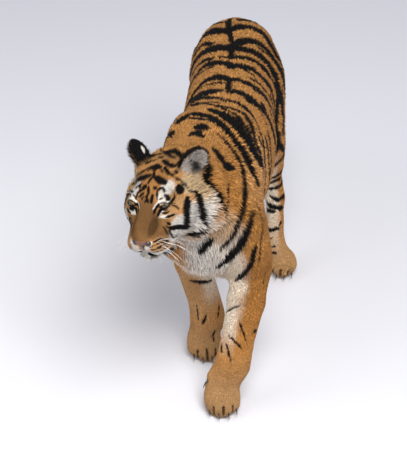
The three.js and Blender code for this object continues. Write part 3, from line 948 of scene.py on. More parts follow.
def head_details(p: Array, body: Array) -> Array:
    """Work the ears, the lids and the mouth into the skin of the head.

    Args:
        p: places on the head's axes, in millimetres.
        body: the skin's field there, in millimetres.

    Returns:
        The finished field.
    """
    for side in SIDES:
        body = union(body, ear_form(p, side) + 2.0, 16)
        edge, q = EYE.opening(p, side)
        ball = np.linalg.norm(q, axis=-1)
        body = union(body, ball - (EYE.radius + EYE.lid), 9)
        body = cut(body, np.maximum(edge, 2.0 - q[:, 0]), 1.2)
        body = np.where(ball < EYE.radius - 1.5, np.maximum(body, 1.0 - (ball - EYE.radius + 1.5)), body)
    return cut(body, lip_line(p), 3.0)


# ---- Colours and markings -----------------------------------------------------------------------
@dataclass(frozen=True)
class Dyes:
    """The coat's colours, linear. The gold is painted light on the top of the back and on the lit shoulder;
    the shade is painted shade on the sides of the nose's bridge.
    """

    orange: Point = (0.52, 0.235, 0.060)
    deep: Point = (0.36, 0.148, 0.032)
    # painted light: lightens the top of the back and the lit left shoulder
    painted_light_gold: Point = (0.66, 0.335, 0.115)
    bridge: Point = (0.20, 0.098, 0.034)
    # painted shade: darkens the side planes of the nose's bridge
    shade: Point = (0.085, 0.042, 0.016)
    tan: Point = (0.56, 0.325, 0.145)
    cream: Point = (0.56, 0.41, 0.235)
    white: Point = (0.78, 0.72, 0.64)
    inside: Point = (0.82, 0.67, 0.51)
    grey: Point = (0.40, 0.35, 0.31)
    black: Point = (0.006, 0.005, 0.0045)


DYES = Dyes()


@dataclass(frozen=True)
class Stroke:
    """One black mark: a path over the skin and half its width, in millimetres.

    A path on the head or the body holds places; one on the trunk holds (station along the back,
    degrees round from its top to the animal's left).
    """

    width: float
    path: tuple[tuple[float, ...], ...]
    blunt: float = 0.75
    widest: float = 0.5

    def curve(self) -> Array:
        """Bend the path smoothly through its points.

        Returns:
            The smooth path's points; a path of two points stays straight.
        """
        path = np.array(self.path, np.float32)
        if len(path) < 3:
            return path
        ends = np.concatenate([[2 * path[0] - path[1]], path, [2 * path[-1] - path[-2]]])
        t = np.linspace(0, 1, 3, endpoint=False, dtype=np.float32)[:, None]
        runs = [
            0.5 * (2 * b + (c - a) * t + (2 * a - 5 * b + 4 * c - d) * t**2 + (3 * b - a - 3 * c + d) * t**3)
            for a, b, c, d in zip(ends[:-3], ends[1:-2], ends[2:-1], ends[3:])
        ]
        return np.concatenate([*runs, path[-1:]]).astype(np.float32)

    def distance(self, places: Array, normals: Array | None) -> Array:
        """Measure how far places lie outside the mark, along the skin.

        Args:
            places: the places, in the path's own coordinates.
            normals: the skin's normals, so that height over the skin counts little, or None.

        Returns:
            The distances in millimetres, less than 0 in the mark.
        """
        path = self.curve()
        steps = np.linalg.norm(np.diff(path, axis=0), axis=1)
        gone = np.concatenate([[0.0], np.cumsum(steps)]) / max(float(steps.sum()), 1e-6)
        best = np.full(len(places), 1e3, np.float32)
        for k, (a, b) in enumerate(zip(path[:-1], path[1:])):
            t = np.clip((places - a) @ (b - a) / max(float((b - a) @ (b - a)), 1e-6), 0.0, 1.0)
            off = places - a - t[:, None] * (b - a)
            if normals is not None:
                high = (off * normals).sum(-1, keepdims=True)
                off = off - 0.65 * high * normals
            along = gone[k] + t * (gone[k + 1] - gone[k])
            taper = (np.abs(along - self.widest) / max(self.widest, 1 - self.widest)) ** 4
            half = self.width * (1.0 - self.blunt * taper)
            best = np.minimum(best, np.linalg.norm(off, axis=-1) - half)
        return best


def mirrored(strokes: tuple[Stroke, ...], by_the_eye: bool = False) -> list[Stroke]:
    """Return strokes of the head's left side with their twins on its right.

    Args:
        strokes: the strokes of the left side.
        by_the_eye: whether their twins go with the right eye, which sits a little differently.

    Returns:
        The strokes of both sides.
    """
    shift = (3, 1, -4) if by_the_eye else (0, 0, 0)
    twins = [
        Stroke(s.width, tuple((f + shift[0], -l - shift[1], u + shift[2]) for f, l, u in s.path), s.blunt)
        for s in strokes
    ]
    return [*strokes, *twins]


FACE_LEFT = (
    Stroke(9, ((92, 8, -130), (66, 54, -140), (30, 76, -134)), 0.4),
    Stroke(3.5, ((-22, 31, 52), (3, 39, 30))),
    Stroke(5, ((-22, 31, 52), (-36, 44, 52), (-26, 55, 41))),
    Stroke(3, ((0, 45, 31), (-9, 56, 33))),
    Stroke(7, ((-18, 58, 36), (-18, 68, 30), (-9, 68, 26)), 0.4),
    Stroke(6.5, ((-54, 71, 26), (-44, 75, 15), (-23, 74, 9)), 0.6),
    Stroke(17, ((-80, 80, 25), (-80, 80, 22)), 0),
    Stroke(3.5, ((-86, 46, 75), (-93, 80, 53), (-108, 100, 6))),
    Stroke(6, ((-89, 72, 60), (-91, 80, 50))),
    Stroke(13.5, ((-72, 108, -3), (-40, 116, -28), (-28, 110, -90)), 0.5),
    Stroke(11, ((-41, 113, -94), (-3, 92, -73), (23, 73, -63)), 0.6),
    Stroke(5, ((-99, 98, 6), (-107, 123, -13))),
    Stroke(16, ((-110, 119, -9), (-98, 133, -45), (-106, 132, -116)), 0.5),
    Stroke(5, ((-105, 131, -115), (-123, 137, -135))),
    Stroke(11, ((-36, 88, -140), (-81, 97, -151), (-123, 127, -151)), 0.6),
    Stroke(3.5, ((33, 56, -51), (37, 75, -84))),
    Stroke(2.5, ((25, 65, -49), (23, 76, -73))),
    Stroke(5, ((28, 72, -69), (24, 84, -104))),
    Stroke(5, ((21, 70, -41), (17, 78, -53))),
    Stroke(2.5, ((24, 84, -104), (-12, 93, -101))),
    Stroke(4.5, ((18, 65, -26), (-5, 91, -24))),
    Stroke(4.5, ((16, 50, -9), (15, 65, -10), (4, 77, -6))),
    Stroke(3.5, ((-13, 74, 10), (-24, 85, -5), (-23, 99, -16))),
    Stroke(5.5, ((-13, 74, 20), (-30, 82, 1))),
    Stroke(16, ((-198, 103, -2), (-198, 140, -60), (-215, 138, -135)), 0.7),
    Stroke(14, ((-234, 110, 20), (-212, 122, -12)), 0.5),
    Stroke(2.5, ((100, 34, -113), (91, 66, -108), (51, 77, -111)), 0.6),
    Stroke(3, ((71, 62, -75), (60, 71, -85), (46, 78, -99))),
    Stroke(2.5, ((77, 67, -84), (51, 77, -98))),
)
BY_EYE = (
    Stroke(5, ((30, 31, -8), (12, 34, 5), (8, 47, 20)), 0.5),
    Stroke(2.5, ((7, 47, 21), (3, 65, 24), (-10, 76, 11)), 0.3),
    Stroke(5.5, ((24, 41, -19), (8, 48, -4), (0, 74, 11)), 0.5),
    Stroke(3, ((11, 51, -12), (8, 64, -13), (0, 75, -13))),
    Stroke(2, ((-10, 76, 11), (-25, 84, -5), (-23, 96, -13))),
)
PALE_BY_EYE = (
    Stroke(3.5, ((18, 45, -18), (7, 57, -6), (-15, 74, -1)), 0.6),
    Stroke(3.5, ((21, 26, 5), (6, 40, 21), (0, 60, 29), (-9, 74, 20)), 0.6),
)
PALE_LIPS = (
    Stroke(7, ((92, 8, -124), (82, 44, -132), (50, 75, -120)), 0.5),
    Stroke(6.5, ((88, 8, -121), (103, 28, -95), (97, 42, -74)), 0.5),
)
CROWN = (
    Stroke(16, ((-170, -72, 84), (-216, 0, 80), (-170, 74, 84)), 0.4),
    Stroke(6.5, ((-142, -61, 92), (-198, -41, 71))),
    Stroke(9, ((-211, -36, 69), (-180, 2, 82), (-163, 36, 84))),
    Stroke(4.5, ((-227, -57, 65), (-202, -7, 75))),
    Stroke(6.5, ((-119, -65, 90), (-135, -40, 86), (-139, -21, 88))),
    Stroke(10, ((-150, -17, 87), (-163, -12, 85)), 0.5),
    Stroke(11, ((-138, 1, 89), (-123, 30, 86), (-126, 60, 90))),
    Stroke(4.5, ((-133, 56, 89), (-119, 78, 109))),
    Stroke(17, ((-99, -18, 87), (-100, 5, 89)), 0.4),
    Stroke(6.5, ((-86, -68, 61), (-92, -42, 79), (-105, -24, 86))),
    Stroke(4.5, ((-81, -33, 79), (-91, -18, 86))),
    Stroke(8, ((-108, 19, 87), (-85, 47, 74))),
    Stroke(4.5, ((-92, 12, 87), (-81, 28, 81))),
    Stroke(7.5, ((-109, 59, 80), (-103, 71, 71))),
    Stroke(4, ((-93, 47, 77), (-93, 64, 69))),
    Stroke(4.5, ((-88, -6, 87), (-54, 6, 76))),
    Stroke(11.5, ((-78, -73, 46), (-58, -38, 69), (-63, -7, 80)), 0.6),
    Stroke(13.5, ((-59, 12, 77), (-54, 30, 69), (-58, 47, 61)), 0.6),
    Stroke(4.5, ((-60, 0, 79), (-32, -7, 65))),
    Stroke(9.5, ((-30, -10, 63), (-15, -24, 50))),
    Stroke(6, ((-27, -2, 62), (-3, 6, 46))),
    Stroke(4, ((-36, -46, 51), (-36, -29, 61))),
    Stroke(6, ((-26, 15, 60), (-24, 29, 54))),
    Stroke(5, ((-5, -43, 36), (-17, -21, 53))),
    Stroke(3.5, ((6, -43, 22), (-5, -42, 36))),
    Stroke(5, ((4, -31, 32), (-8, -11, 48))),
    Stroke(3.5, ((10, -20, 29), (3, -9, 40))),
    Stroke(4.5, ((1, -3, 43), (16, 10, 24))),
    Stroke(5.5, ((15, 19, 22), (-7, 20, 45))),
    Stroke(4, ((-6, 4, 48), (6, 3, 38))),
    Stroke(3.5, ((18, -4, 23), (10, 0, 34))),
)
NECK_AND_LEGS = (
    # the withers and the shoulders, from the back forward
    Stroke(11, ((-50, -30, 815), (15, -160, 905), (65, -225, 935)), 0.5),
    Stroke(9, ((-45, -70, 830), (-10, -185, 895), (60, -265, 940)), 0.6),
    Stroke(16, ((65, -235, 935), (145, -250, 915), (200, -345, 855), (210, -445, 750)), 0.5),
    Stroke(12, ((50, -280, 940), (120, -320, 940), (170, -410, 910), (205, -485, 760)), 0.5),
    Stroke(7.5, ((-10, -215, 905), (70, -315, 940), (135, -400, 940), (160, -435, 905)), 0.6),
    Stroke(8, ((90, -375, 950), (150, -420, 925), (185, -465, 855)), 0.6),
    Stroke(23, ((25, -315, 940), (100, -415, 945), (165, -475, 880), (195, -480, 810)), 0.6),
    Stroke(14, ((-90, -325, 900), (-10, -345, 940), (85, -475, 935), (155, -525, 860),
                (185, -560, 775)), 0.4),
    Stroke(9, ((-55, -345, 925), (30, -425, 950), (110, -510, 910), (165, -550, 815)), 0.5),
    Stroke(12, ((-95, -330, 890), (-55, -345, 925)), 0.6),
    Stroke(23, ((-25, -445, 940), (15, -475, 950)), 0.5),
    Stroke(23, ((-45, -510, 945), (-10, -495, 950)), 0.5),
    Stroke(18, ((-15, -515, 950), (-5, -535, 950)), 0.5),
    Stroke(13.5, ((-120, -350, 865), (-100, -385, 880)), 0.4),
    # the side of the neck and the chest
    Stroke(9.5, ((50, -505, 945), (100, -545, 905), (135, -565, 840), (145, -630, 765),
                 (115, -700, 700), (95, -705, 645), (60, -685, 590)), 0.6),
    Stroke(17, ((30, -590, 935), (70, -615, 890), (100, -590, 860)), 0.6),
    Stroke(13, ((0, -720, 910), (40, -750, 845), (75, -695, 730)), 0.5),
    Stroke(8.5, ((85, -635, 830), (70, -695, 725)), 0.8),
    Stroke(14, ((170, -660, 730), (125, -710, 620), (50, -665, 505)), 0.7),
    Stroke(10, ((180, -695, 620), (160, -700, 535), (110, -650, 440)), 0.7),
    Stroke(3.5, ((185, -620, 740), (200, -685, 640), (190, -695, 530)), 0.6),
    Stroke(2.5, ((215, -660, 495), (210, -660, 420)), 0.6),
    Stroke(15.5, ((35, -690, 645), (5, -685, 610), (-15, -675, 580)), 0.6),
    Stroke(11.5, ((100, -145, 930), (170, -165, 870), (200, -230, 790), (205, -275, 730)), 0.6),
    # the forelegs
    Stroke(7.5, ((-45, -470, 330), (-15, -475, 325), (30, -445, 315)), 0.6),
    Stroke(4, ((80, -675, 325), (100, -700, 360), (130, -705, 375))),
    Stroke(3.5, ((125, -730, 325), (150, -760, 250))),
    Stroke(4, ((85, -740, 275), (120, -770, 255), (140, -775, 230))),
    Stroke(4, ((80, -755, 250), (100, -805, 190))),
    Stroke(5.5, ((170, -735, 280), (185, -710, 275))),
    Stroke(4, ((60, -740, 240), (70, -765, 210))),
    Stroke(3, ((-25, -470, 225), (-20, -475, 160))),
    Stroke(5.5, ((10, -480, 185), (-5, -480, 145))),
    Stroke(4, ((40, -470, 115), (35, -475, 90))),
    Stroke(4.5, ((150, -560, 300), (190, -560, 320), (200, -600, 330))),
    Stroke(6, ((205, -520, 560), (220, -470, 520), (215, -430, 500))),
    Stroke(5, ((35, -475, 105), (40, -485, 70))),
    Stroke(4.5, ((55, -445, 215), (50, -470, 165))),
    # the hind legs
    Stroke(12, ((280, 170, 610), (285, 145, 560), (275, 125, 520)), 0.5),
    Stroke(11.5, ((290, 170, 585), (290, 140, 550), (310, 175, 505)), 0.5),
    Stroke(11.5, ((245, 145, 445), (290, 150, 475), (330, 230, 500)), 0.5),
    Stroke(10.5, ((240, 165, 390), (300, 180, 405), (330, 260, 425)), 0.5),
    Stroke(10.5, ((255, 180, 360), (285, 180, 370), (310, 205, 370)), 0.6),
    Stroke(10.5, ((235, 190, 320), (290, 195, 330), (325, 260, 350)), 0.5),
    Stroke(9, ((260, 200, 290), (290, 195, 275), (320, 260, 280)), 0.5),
    Stroke(10.5, ((245, 205, 255), (275, 190, 245), (310, 200, 235)), 0.5),
    Stroke(9, ((235, 210, 225), (280, 180, 230)), 0.5),
    Stroke(8, ((235, 170, 170), (260, 150, 165), (295, 150, 175)), 0.5),
    Stroke(4.5, ((305, 170, 195), (295, 155, 180))),
    Stroke(4.5, ((255, 135, 130), (270, 130, 145))),
    Stroke(4.5, ((265, 115, 110), (280, 105, 120))),
    Stroke(5.5, ((260, 105, 90), (285, 90, 95))),
    Stroke(9, ((-25, 190, 520), (-50, 285, 500), (-30, 385, 470)), 0.6),
    Stroke(8, ((-10, 300, 430), (-30, 375, 410), (-5, 450, 385)), 0.6),
    Stroke(7, ((0, 420, 370), (-10, 475, 345), (5, 520, 325)), 0.6),
    Stroke(6, ((10, 490, 260), (5, 520, 250), (15, 545, 240)), 0.6),
    Stroke(5, ((15, 480, 200), (10, 510, 190), (20, 530, 180)), 0.6),
)
TRUNK = (
    # the arches over the tail's root and the dark line down the back
    Stroke(12, ((470, 2), (500, 16), (510, 40), (445, 108)), 0.5),
    Stroke(9, ((450, -6), (480, -16), (500, -35), (450, -100)), 0.5),
    Stroke(9, ((495, -7), (350, -5)), 0.4),
    Stroke(9, ((355, -5), (260, 0)), 0.3),
    Stroke(9, ((270, 0), (130, 0)), 0.3),
    Stroke(9, ((-30, 0), (-125, 0)), 0.4),
    # the left side, from the rump forward
    Stroke(18, ((375, -2), (410, 9), (420, 21), (390, 38), (355, 94))),
    Stroke(6, ((395, 16), (415, 29), (405, 34))),
    Stroke(19, ((250, 1), (305, 10), (330, 24), (330, 38), (300, 94))),
    Stroke(8, ((295, 23), (310, 35), (305, 41))),
    Stroke(21, ((215, 1), (240, 20), (260, 40), (230, 99))),
    Stroke(12, ((145, 2), (180, 19), (205, 42), (230, 65), (250, 105))),
    Stroke(19, ((185, 28), (215, 46)), 0.4),
    Stroke(18, ((70, 2), (105, 18), (110, 32), (150, 55), (145, 108))),
    Stroke(6.5, ((75, 12), (55, 27))),
    Stroke(8.5, ((20, 19), (55, 43), (100, 110))),
    Stroke(19, ((-35, 2), (-30, 18), (-5, 55), (0, 95))),
    Stroke(6.5, ((-15, 44), (-25, 51))),
    Stroke(12.5, ((-110, 32), (-160, 42), (-160, 98))),
    Stroke(19.5, ((-140, 4), (-145, 20), (-155, 46), (-165, 86))),
    Stroke(5.5, ((-55, 21), (-15, 44), (5, 54))),
    Stroke(5, ((25, 33), (95, 56))),
    Stroke(18, ((-170, 19), (-185, 22))),
    Stroke(8.5, ((-160, 46), (-150, 57))),
    Stroke(13.5, ((375, 60), (400, 84), (390, 108)), 0.7),
    Stroke(12, ((95, 52), (60, 74), (40, 98)), 0.7),
    Stroke(10.5, ((-70, 46), (-90, 70), (-85, 104)), 0.7),
    Stroke(10.5, ((-295, 44), (-330, 66), (-320, 92)), 0.7),
    Stroke(10, ((-245, 46), (-305, 76), (-325, 112)), 0.5),
    Stroke(8, ((-350, 40), (-390, 63), (-405, 103)), 0.5),
    Stroke(9, ((-390, 35), (-395, 58), (-400, 98)), 0.5),
    # the left thigh
    Stroke(19.5, ((265, 53), (205, 80), (130, 121)), 0.5),
    Stroke(7, ((275, 71), (230, 104), (180, 115))),
    Stroke(8, ((340, 100), (320, 122), (280, 140)), 0.6),
    Stroke(8.5, ((400, 106), (380, 132), (335, 150)), 0.6),
    Stroke(6.5, ((450, 112), (440, 134), (410, 150)), 0.6),
    # the right side, from the rump forward
    Stroke(18, ((360, -6), (400, -18), (435, -30), (440, -82))),
    Stroke(20.5, ((215, -1), (265, -18), (325, -44), (355, -78), (345, -100))),
    Stroke(10, ((305, -19), (380, -38), (415, -98))),
    Stroke(8.5, ((145, 0), (165, -11))),
    Stroke(10, ((175, -16), (240, -40), (255, -95))),
    Stroke(17, ((95, -1), (155, -25), (145, -36), (120, -91))),
    Stroke(7, ((100, -14), (120, -28), (115, -33))),
    Stroke(19, ((-35, 1), (-5, -9), (10, -23), (-25, -47), (-55, -87))),
    Stroke(7.5, ((-65, -4), (-30, -18), (-15, -30))),
    Stroke(17, ((-135, -8), (-80, -25), (-20, -54), (-20, -94))),
    Stroke(14, ((-135, 4), (-145, 7)), 0.3),
    Stroke(12, ((340, -80), (300, -96), (280, -112)), 0.7),
    Stroke(10.5, ((190, -76), (185, -96), (160, -114)), 0.7),
    Stroke(12, ((60, -44), (55, -70), (70, -100)), 0.7),
    Stroke(10.5, ((-170, -48), (-180, -76), (-165, -104)), 0.7),
    Stroke(12, ((-225, -34), (-260, -60), (-255, -92)), 0.7),
    Stroke(9, ((-205, -32), (-240, -58), (-225, -92)), 0.6),
    Stroke(9, ((-300, -36), (-340, -66), (-325, -100)), 0.6),
    Stroke(8, ((-360, -40), (-400, -70), (-390, -98)), 0.6),
    Stroke(8, ((-430, -52), (-465, -72), (-475, -98)), 0.6),
    Stroke(7, ((-495, -44), (-525, -66), (-530, -92)), 0.6),
    # the right thigh
    Stroke(8, ((350, -106), (335, -130), (300, -148)), 0.6),
    Stroke(8.5, ((425, -102), (420, -126), (385, -146)), 0.6),
    Stroke(8, ((500, -98), (500, -122), (470, -144)), 0.6),
)
WHISKER_ROWS = (
    ((92, 49, -75), (81, 57, -74), (68, 63, -76)),
    ((103, 37, -91), (91, 58, -83), (76, 66, -84)),
    ((94, 61, -94), (83, 69, -93), (59, 76, -98)),
    ((102, 42, -101), (97, 58, -98), (86, 67, -99)),
)


@dataclass(frozen=True)
class Patch:
    """A soft-edged patch of another colour, on the head's axes or the body's."""

    centre: Point
    half: Point
    dye: Point
    strength: float = 1.0

    def share(self, places: Array) -> Array:
        """Return how much of the patch's colour each place takes."""
        off = (places - np.array(self.centre, np.float32)) / np.array(self.half, np.float32)
        return self.strength * (1.0 - ramp(np.linalg.norm(off, axis=-1), 0.65, 1.2))


def face_patches() -> list[Patch]:
    """Set the head's patches.

    Returns:
        The patches, from the broadest to the smallest.
    """
    white, tan, cream = DYES.white, DYES.tan, DYES.cream
    patches = [
        Patch((50, 0, -10), (90, 46, 74), DYES.bridge),
        Patch((-50, 0, 60), (80, 60, 50), DYES.deep, 0.55),
        Patch((92, 0, -50), (46, 50, 26), DYES.bridge, 0.8),
    ]
    for side in SIDES:
        patches += [
            Patch((44, side * 56, -56), (60, 34, 46), DYES.bridge, 0.75),
            Patch((36, side * 42, -34), (26, 14, 34), DYES.bridge, 0.7),
            # painted shade on each side of the nose's bridge, from the inner eye corner down to the nostril
            Patch((56, side * 37, -40), (46, 11, 34), DYES.shade, 0.7),
            Patch((-149, side * 135, -30), (60, 50, 60), cream, 0.8),
            Patch((-124, side * 104, 20), (56, 34, 34), cream, 0.9),
            Patch((-120, side * 135, -110), (90, 70, 76), white),
            Patch((-62, side * 122, -64), (40, 30, 56), white),
            Patch((-6, side * 100, -62), (44, 26, 34), white),
            Patch((-6, side * 90, -98), (56, 34, 36), white),
            Patch((-45, side * 98, 0), (34, 22, 22), tan, 0.8),
            Patch((-12, side * 86, -14), (26, 16, 16), tan, 0.6),
            Patch((-47, side * 57, 48), (36, 23, 24), white),
            Patch((-14, side * 47, 38), (24, 15, 15), white, 0.9),
            Patch((-4, side * 62, 26), (24, 22, 9), white, 0.9),
            Patch((2, side * 60, -24), (26, 28, 7), white, 0.9),
            Patch((-110, side * 100, 46), (40, 24, 24), cream, 0.7),
            Patch((80, side * 58, -86), (42, 28, 20), tan, 0.7),
            Patch((82, side * 36, -120), (44, 40, 15), white),
            Patch((98, side * 22, -98), (14, 14, 14), white, 0.9),
        ]
    patches += [Patch((70, 0, -154), (70, 70, 34), white), Patch((-60, 0, -180), (130, 90, 60), white)]
    return patches


BODY_PATCHES = (
    # painted light: a gold pool over the lit left shoulder
    Patch((190, -480, 760), (100, 170, 170), DYES.painted_light_gold, 0.85),
    Patch((175, -660, 410), (110, 150, 170), DYES.deep, 0.5),
    Patch((-20, -470, 320), (90, 90, 170), DYES.tan, 0.8),
    Patch((0, -760, 660), (150, 130, 120), DYES.white),
    Patch((30, -700, 540), (110, 130, 110), DYES.white),
    Patch((60, -700, 700), (60, 60, 90), DYES.tan, 0.8),
    Patch((0, -540, 430), (130, 140, 90), DYES.white),
    Patch((110, -20, 560), (240, 460, 80), DYES.tan, 0.5),
    Patch((100, -40, 450), (190, 480, 95), DYES.white),
)


class Markings:
    """Where the coat is pale and where it is black.

    The trunk's marks are laid out on it as if unrolled from a tube of radius ROUND about its MIDDLE
    height, and each is widest at WIDEST of its length, near the spine. NEAR is how far round a mark
    its distance is measured.
    """

    ROUND = 190.0
    MIDDLE = 660.0
    WIDEST = 0.3
    NEAR = 40.0

    def base(self, points: Array, normals: Array) -> Array:
        """Return the coat's colour without its black, with painted light on the top of the back and the
        shoulder and painted shade by the nose's bridge and in the ears' hollows.

        Args:
            points: places in metres.
            normals: the skin's normals.

        Returns:
            The colours, linear.
        """
        body, head = STANCE.on_body(points), STANCE.on_head(points)
        colour = np.tile(np.array(DYES.orange, np.float32), (len(points), 1))
        from_head = np.linalg.norm((head - (-60, 0, -40)) / (210, 180, 180), axis=-1)
        on_head_share = 1 - ramp(from_head, 0.95, 1.1)
        z = body[:, 2]
        # painted light: the upward-facing top of the back is lightened with gold
        back = ramp(normals[:, 2], 0.3, 1.0) * ramp(z, 700, 850) * (1 - on_head_share)
        colour = mixed(colour, DYES.painted_light_gold, 0.3 * back)
        for patch in BODY_PATCHES:
            colour = mixed(colour, patch.dye, patch.share(body) * (1 - on_head_share))
        colour = mixed(colour, DYES.inside, self.inner_legs(body, normals) * (1 - on_head_share))
        colour = mixed(colour, DYES.tan, 0.4 * on_head_share)
        for patch in face_patches():
            colour = mixed(colour, patch.dye, patch.share(head) * on_head_share)
        local_normals = normals @ STANCE.axes.T
        for stroke in [*mirrored(PALE_BY_EYE, by_the_eye=True), *mirrored(PALE_LIPS)]:
            gap = stroke.distance(head, local_normals)
            colour = mixed(colour, DYES.white, (1 - ramp(gap, -1.5, 1.5)) * on_head_share)
        paws = (1 - ramp(z, 60, 260)) * (1 - on_head_share)
        colour = mixed(colour, DYES.tan, 0.85 * paws) * (1 - 0.14 * paws[:, None])
        colour = self.ears(head, local_normals, colour)
        wander = 1.0 + 0.08 * drift(points, 0.05)[:, None] + 0.06 * drift(points + 0.7, 0.013)[:, None]
        return colour * wander

    def ears(self, head: Array, normals: Array, colour: Array) -> Array:
        """Colour the ears: grey hair in the cup round painted shade in its hollow, a black back with a white
        spot.

        Args:
            head: places on the head's axes.
            normals: the skin's normals on them.
            colour: the colours so far.

        Returns:
            The colours with the ears'.
        """
        for side in SIDES:
            root, axes = ear_axes(side)
            q = (head - root.astype(np.float32)) @ axes.T.astype(np.float32)
            off = np.linalg.norm((q - (0, 0, 46)) / (44, 62, 66), axis=-1)
            near = (1 - ramp(off, 0.9, 1.08)) * ramp(q[:, 2], 2, 22)
            facing = ramp((normals @ axes.T.astype(np.float32))[:, 0], -0.55, -0.2)
            cup = ellipsoid(q, *EAR_CUP)
            inside = facing * (1 - ramp(cup, 9, 12))
            back = mixed(np.tile(np.array(DYES.black, np.float32), (len(q), 1)), DYES.white,
                         1 - ramp(np.hypot(q[:, 1] + 6, q[:, 2] - 58), 9, 14))
            colour = mixed(colour, back, near * (1 - facing))
            colour = mixed(colour, DYES.black, near * facing * ramp(cup, 9, 12))
            colour = mixed(colour, DYES.grey, near * inside)
            # painted shade deep in the ear's hollow
            hollow = 1 - ramp(np.linalg.norm((q - (-6, side * 21, 12)) / (60, 26, 36), axis=-1), 0.6, 1.2)
            colour = mixed(colour, DYES.black, near * inside * hollow * 0.93)
        return colour

    def inner_legs(self, body: Array, normals: Array) -> Array:
        """Pale the legs' inner sides.

        Args:
            body: places on the skeleton, in millimetres.
            normals: the skin's normals.

        Returns:
            How pale each place is, 0 to 1.
        """
        share = np.zeros(len(body), np.float32)
        for leg in LEGS:
            joints = np.array(leg.joints, np.float32)
            level = body[:, 2]
            axis_x = np.interp(level, joints[::-1, 2], joints[::-1, 0])
            axis_y = np.interp(level, joints[::-1, 2], joints[::-1, 1])
            near = np.hypot(body[:, 0] - axis_x, body[:, 1] - axis_y)
            ahead = -normals[:, 1]
            inward = -leg.side * normals[:, 0]
            if leg.name.startswith("fore"):
                pale = ramp(inward + 0.25 * ahead, 0.15, 0.75) * ramp(level, 190, 310)
            else:
                pale = ramp(inward + 0.9 * ahead, -0.1, 0.8)
                pale = pale * (1 - ramp(level, 520, 640)) * ramp(level, 60, 130)
            share = np.maximum(share, pale * (1 - ramp(near, 110, 170)))
        return share * (1 - ramp(body[:, 2], 560, 700))

    def blackness(self, points: Array, normals: Array) -> Array:
        """Lay the black marks on the coat, with painted shade in the furrows between the toes and under the
        upper lip.

        Args:
            points: places in metres.
            normals: the skin's normals.

        Returns:
            How black each place is, 0 to 1.
        """
        body, head = STANCE.on_body(points), STANCE.on_head(points)
        ragged = 1.6 * drift(points, 0.004) + 1.2 * drift(points + 0.31, 0.0017)
        black = np.zeros(len(points), np.float32)
        near_head = np.linalg.norm(head - np.array((-80, 0, -40)), axis=-1) < 320
        index = np.nonzero(near_head)[0]
        local_normals = normals[index] @ STANCE.axes.T
        for stroke in [*mirrored(FACE_LEFT), *mirrored(BY_EYE, by_the_eye=True), *CROWN]:
            gap = stroke.distance(head[index], local_normals) + 0.5 * ragged[index]
            black[index] = np.maximum(black[index], 1 - ramp(gap, -1.0, 1.2))
        self.blacken_lids_and_lips(head, black)
        for stroke in NECK_AND_LEGS:
            low, high = stroke.curve().min(0) - self.NEAR, stroke.curve().max(0) + self.NEAR
            index = np.nonzero(((body > low) & (body < high)).all(1))[0]
            gap = stroke.distance(body[index], normals[index]) + 1.5 * ragged[index]
            black[index] = np.maximum(black[index], 1 - ramp(gap, -2.0, 2.0))
        x, y, z = body.T
        turn = np.arctan2(x - spine_x(y), z - self.MIDDLE)
        rolled = np.stack([y, turn * self.ROUND], -1).astype(np.float32)
        on_trunk = (y > -560) & (y < 640) & ((z > 430) | (np.abs(y) < 300))
        index = np.nonzero(on_trunk)[0]
        wave = 2.5 * drift(points[index], 0.03)
        for stroke in TRUNK:
            path = tuple((s, math.radians(a) * self.ROUND) for s, a in stroke.path)
            gap = Stroke(stroke.width, path, stroke.blunt, self.WIDEST).distance(rolled[index], None)
            black[index] = np.maximum(black[index], 1 - ramp(gap + wave + 1.5 * ragged[index], -2.0, 2.0))
        self.band_tail(body, ragged, black)
        # painted shade: the furrows between the toes are darkened
        for leg in LEGS:
            index = np.nonzero(np.linalg.norm(body - np.array(leg.joints[-1]), axis=-1) < 150)[0]
            gap = toe_gaps(leg, body[index])
            black[index] = np.maximum(black[index], 0.85 * (1 - ramp(gap, -1.0, 4.0)))
        return black

    def blacken_lids_and_lips(self, head: Array, black: Array) -> None:
        """Blacken the lids' rims, the lips and the whisker spots, and paint the shadow under the upper lip.

        Args:
            head: places on the head's axes.
            black: how black each is; raised here.
        """
        for side in SIDES:
            edge, q = EYE.opening(head, side)
            reach = 3.2 + 2.6 * ramp(-q[:, 2], -3, 5)
            rim = (1 - ramp(edge - reach, -1.0, 1.0)) * (q[:, 0] > 0) * (q[:, 0] < 40)
            np.maximum(black, rim, out=black)
            for row in WHISKER_ROWS:
                path = np.array(row, np.float32) * (1, side, 1)
                for t in np.linspace(0, len(path) - 1, 7):
                    spot = [np.interp(t, range(len(path)), path[:, k]) for k in range(3)]
                    near = np.linalg.norm(head - np.array(spot, np.float32), axis=-1)
                    np.maximum(black, 1 - ramp(near, 2.2, 4.4), out=black)
        np.maximum(black, 1 - ramp(lip_line(head), 0.5, 3.0), out=black)
        # the black lower lip and painted shadow under the upper lip, broken by pale streaks
        speck = (np.sin(head @ np.array((12.99, 78.23, 37.72), np.float32)) * 437.5) % 1.0
        np.maximum(black, (1 - ramp(lip_and_chin_shadow(head), -2.0, 3.0)) * (speck > 0.36), out=black)

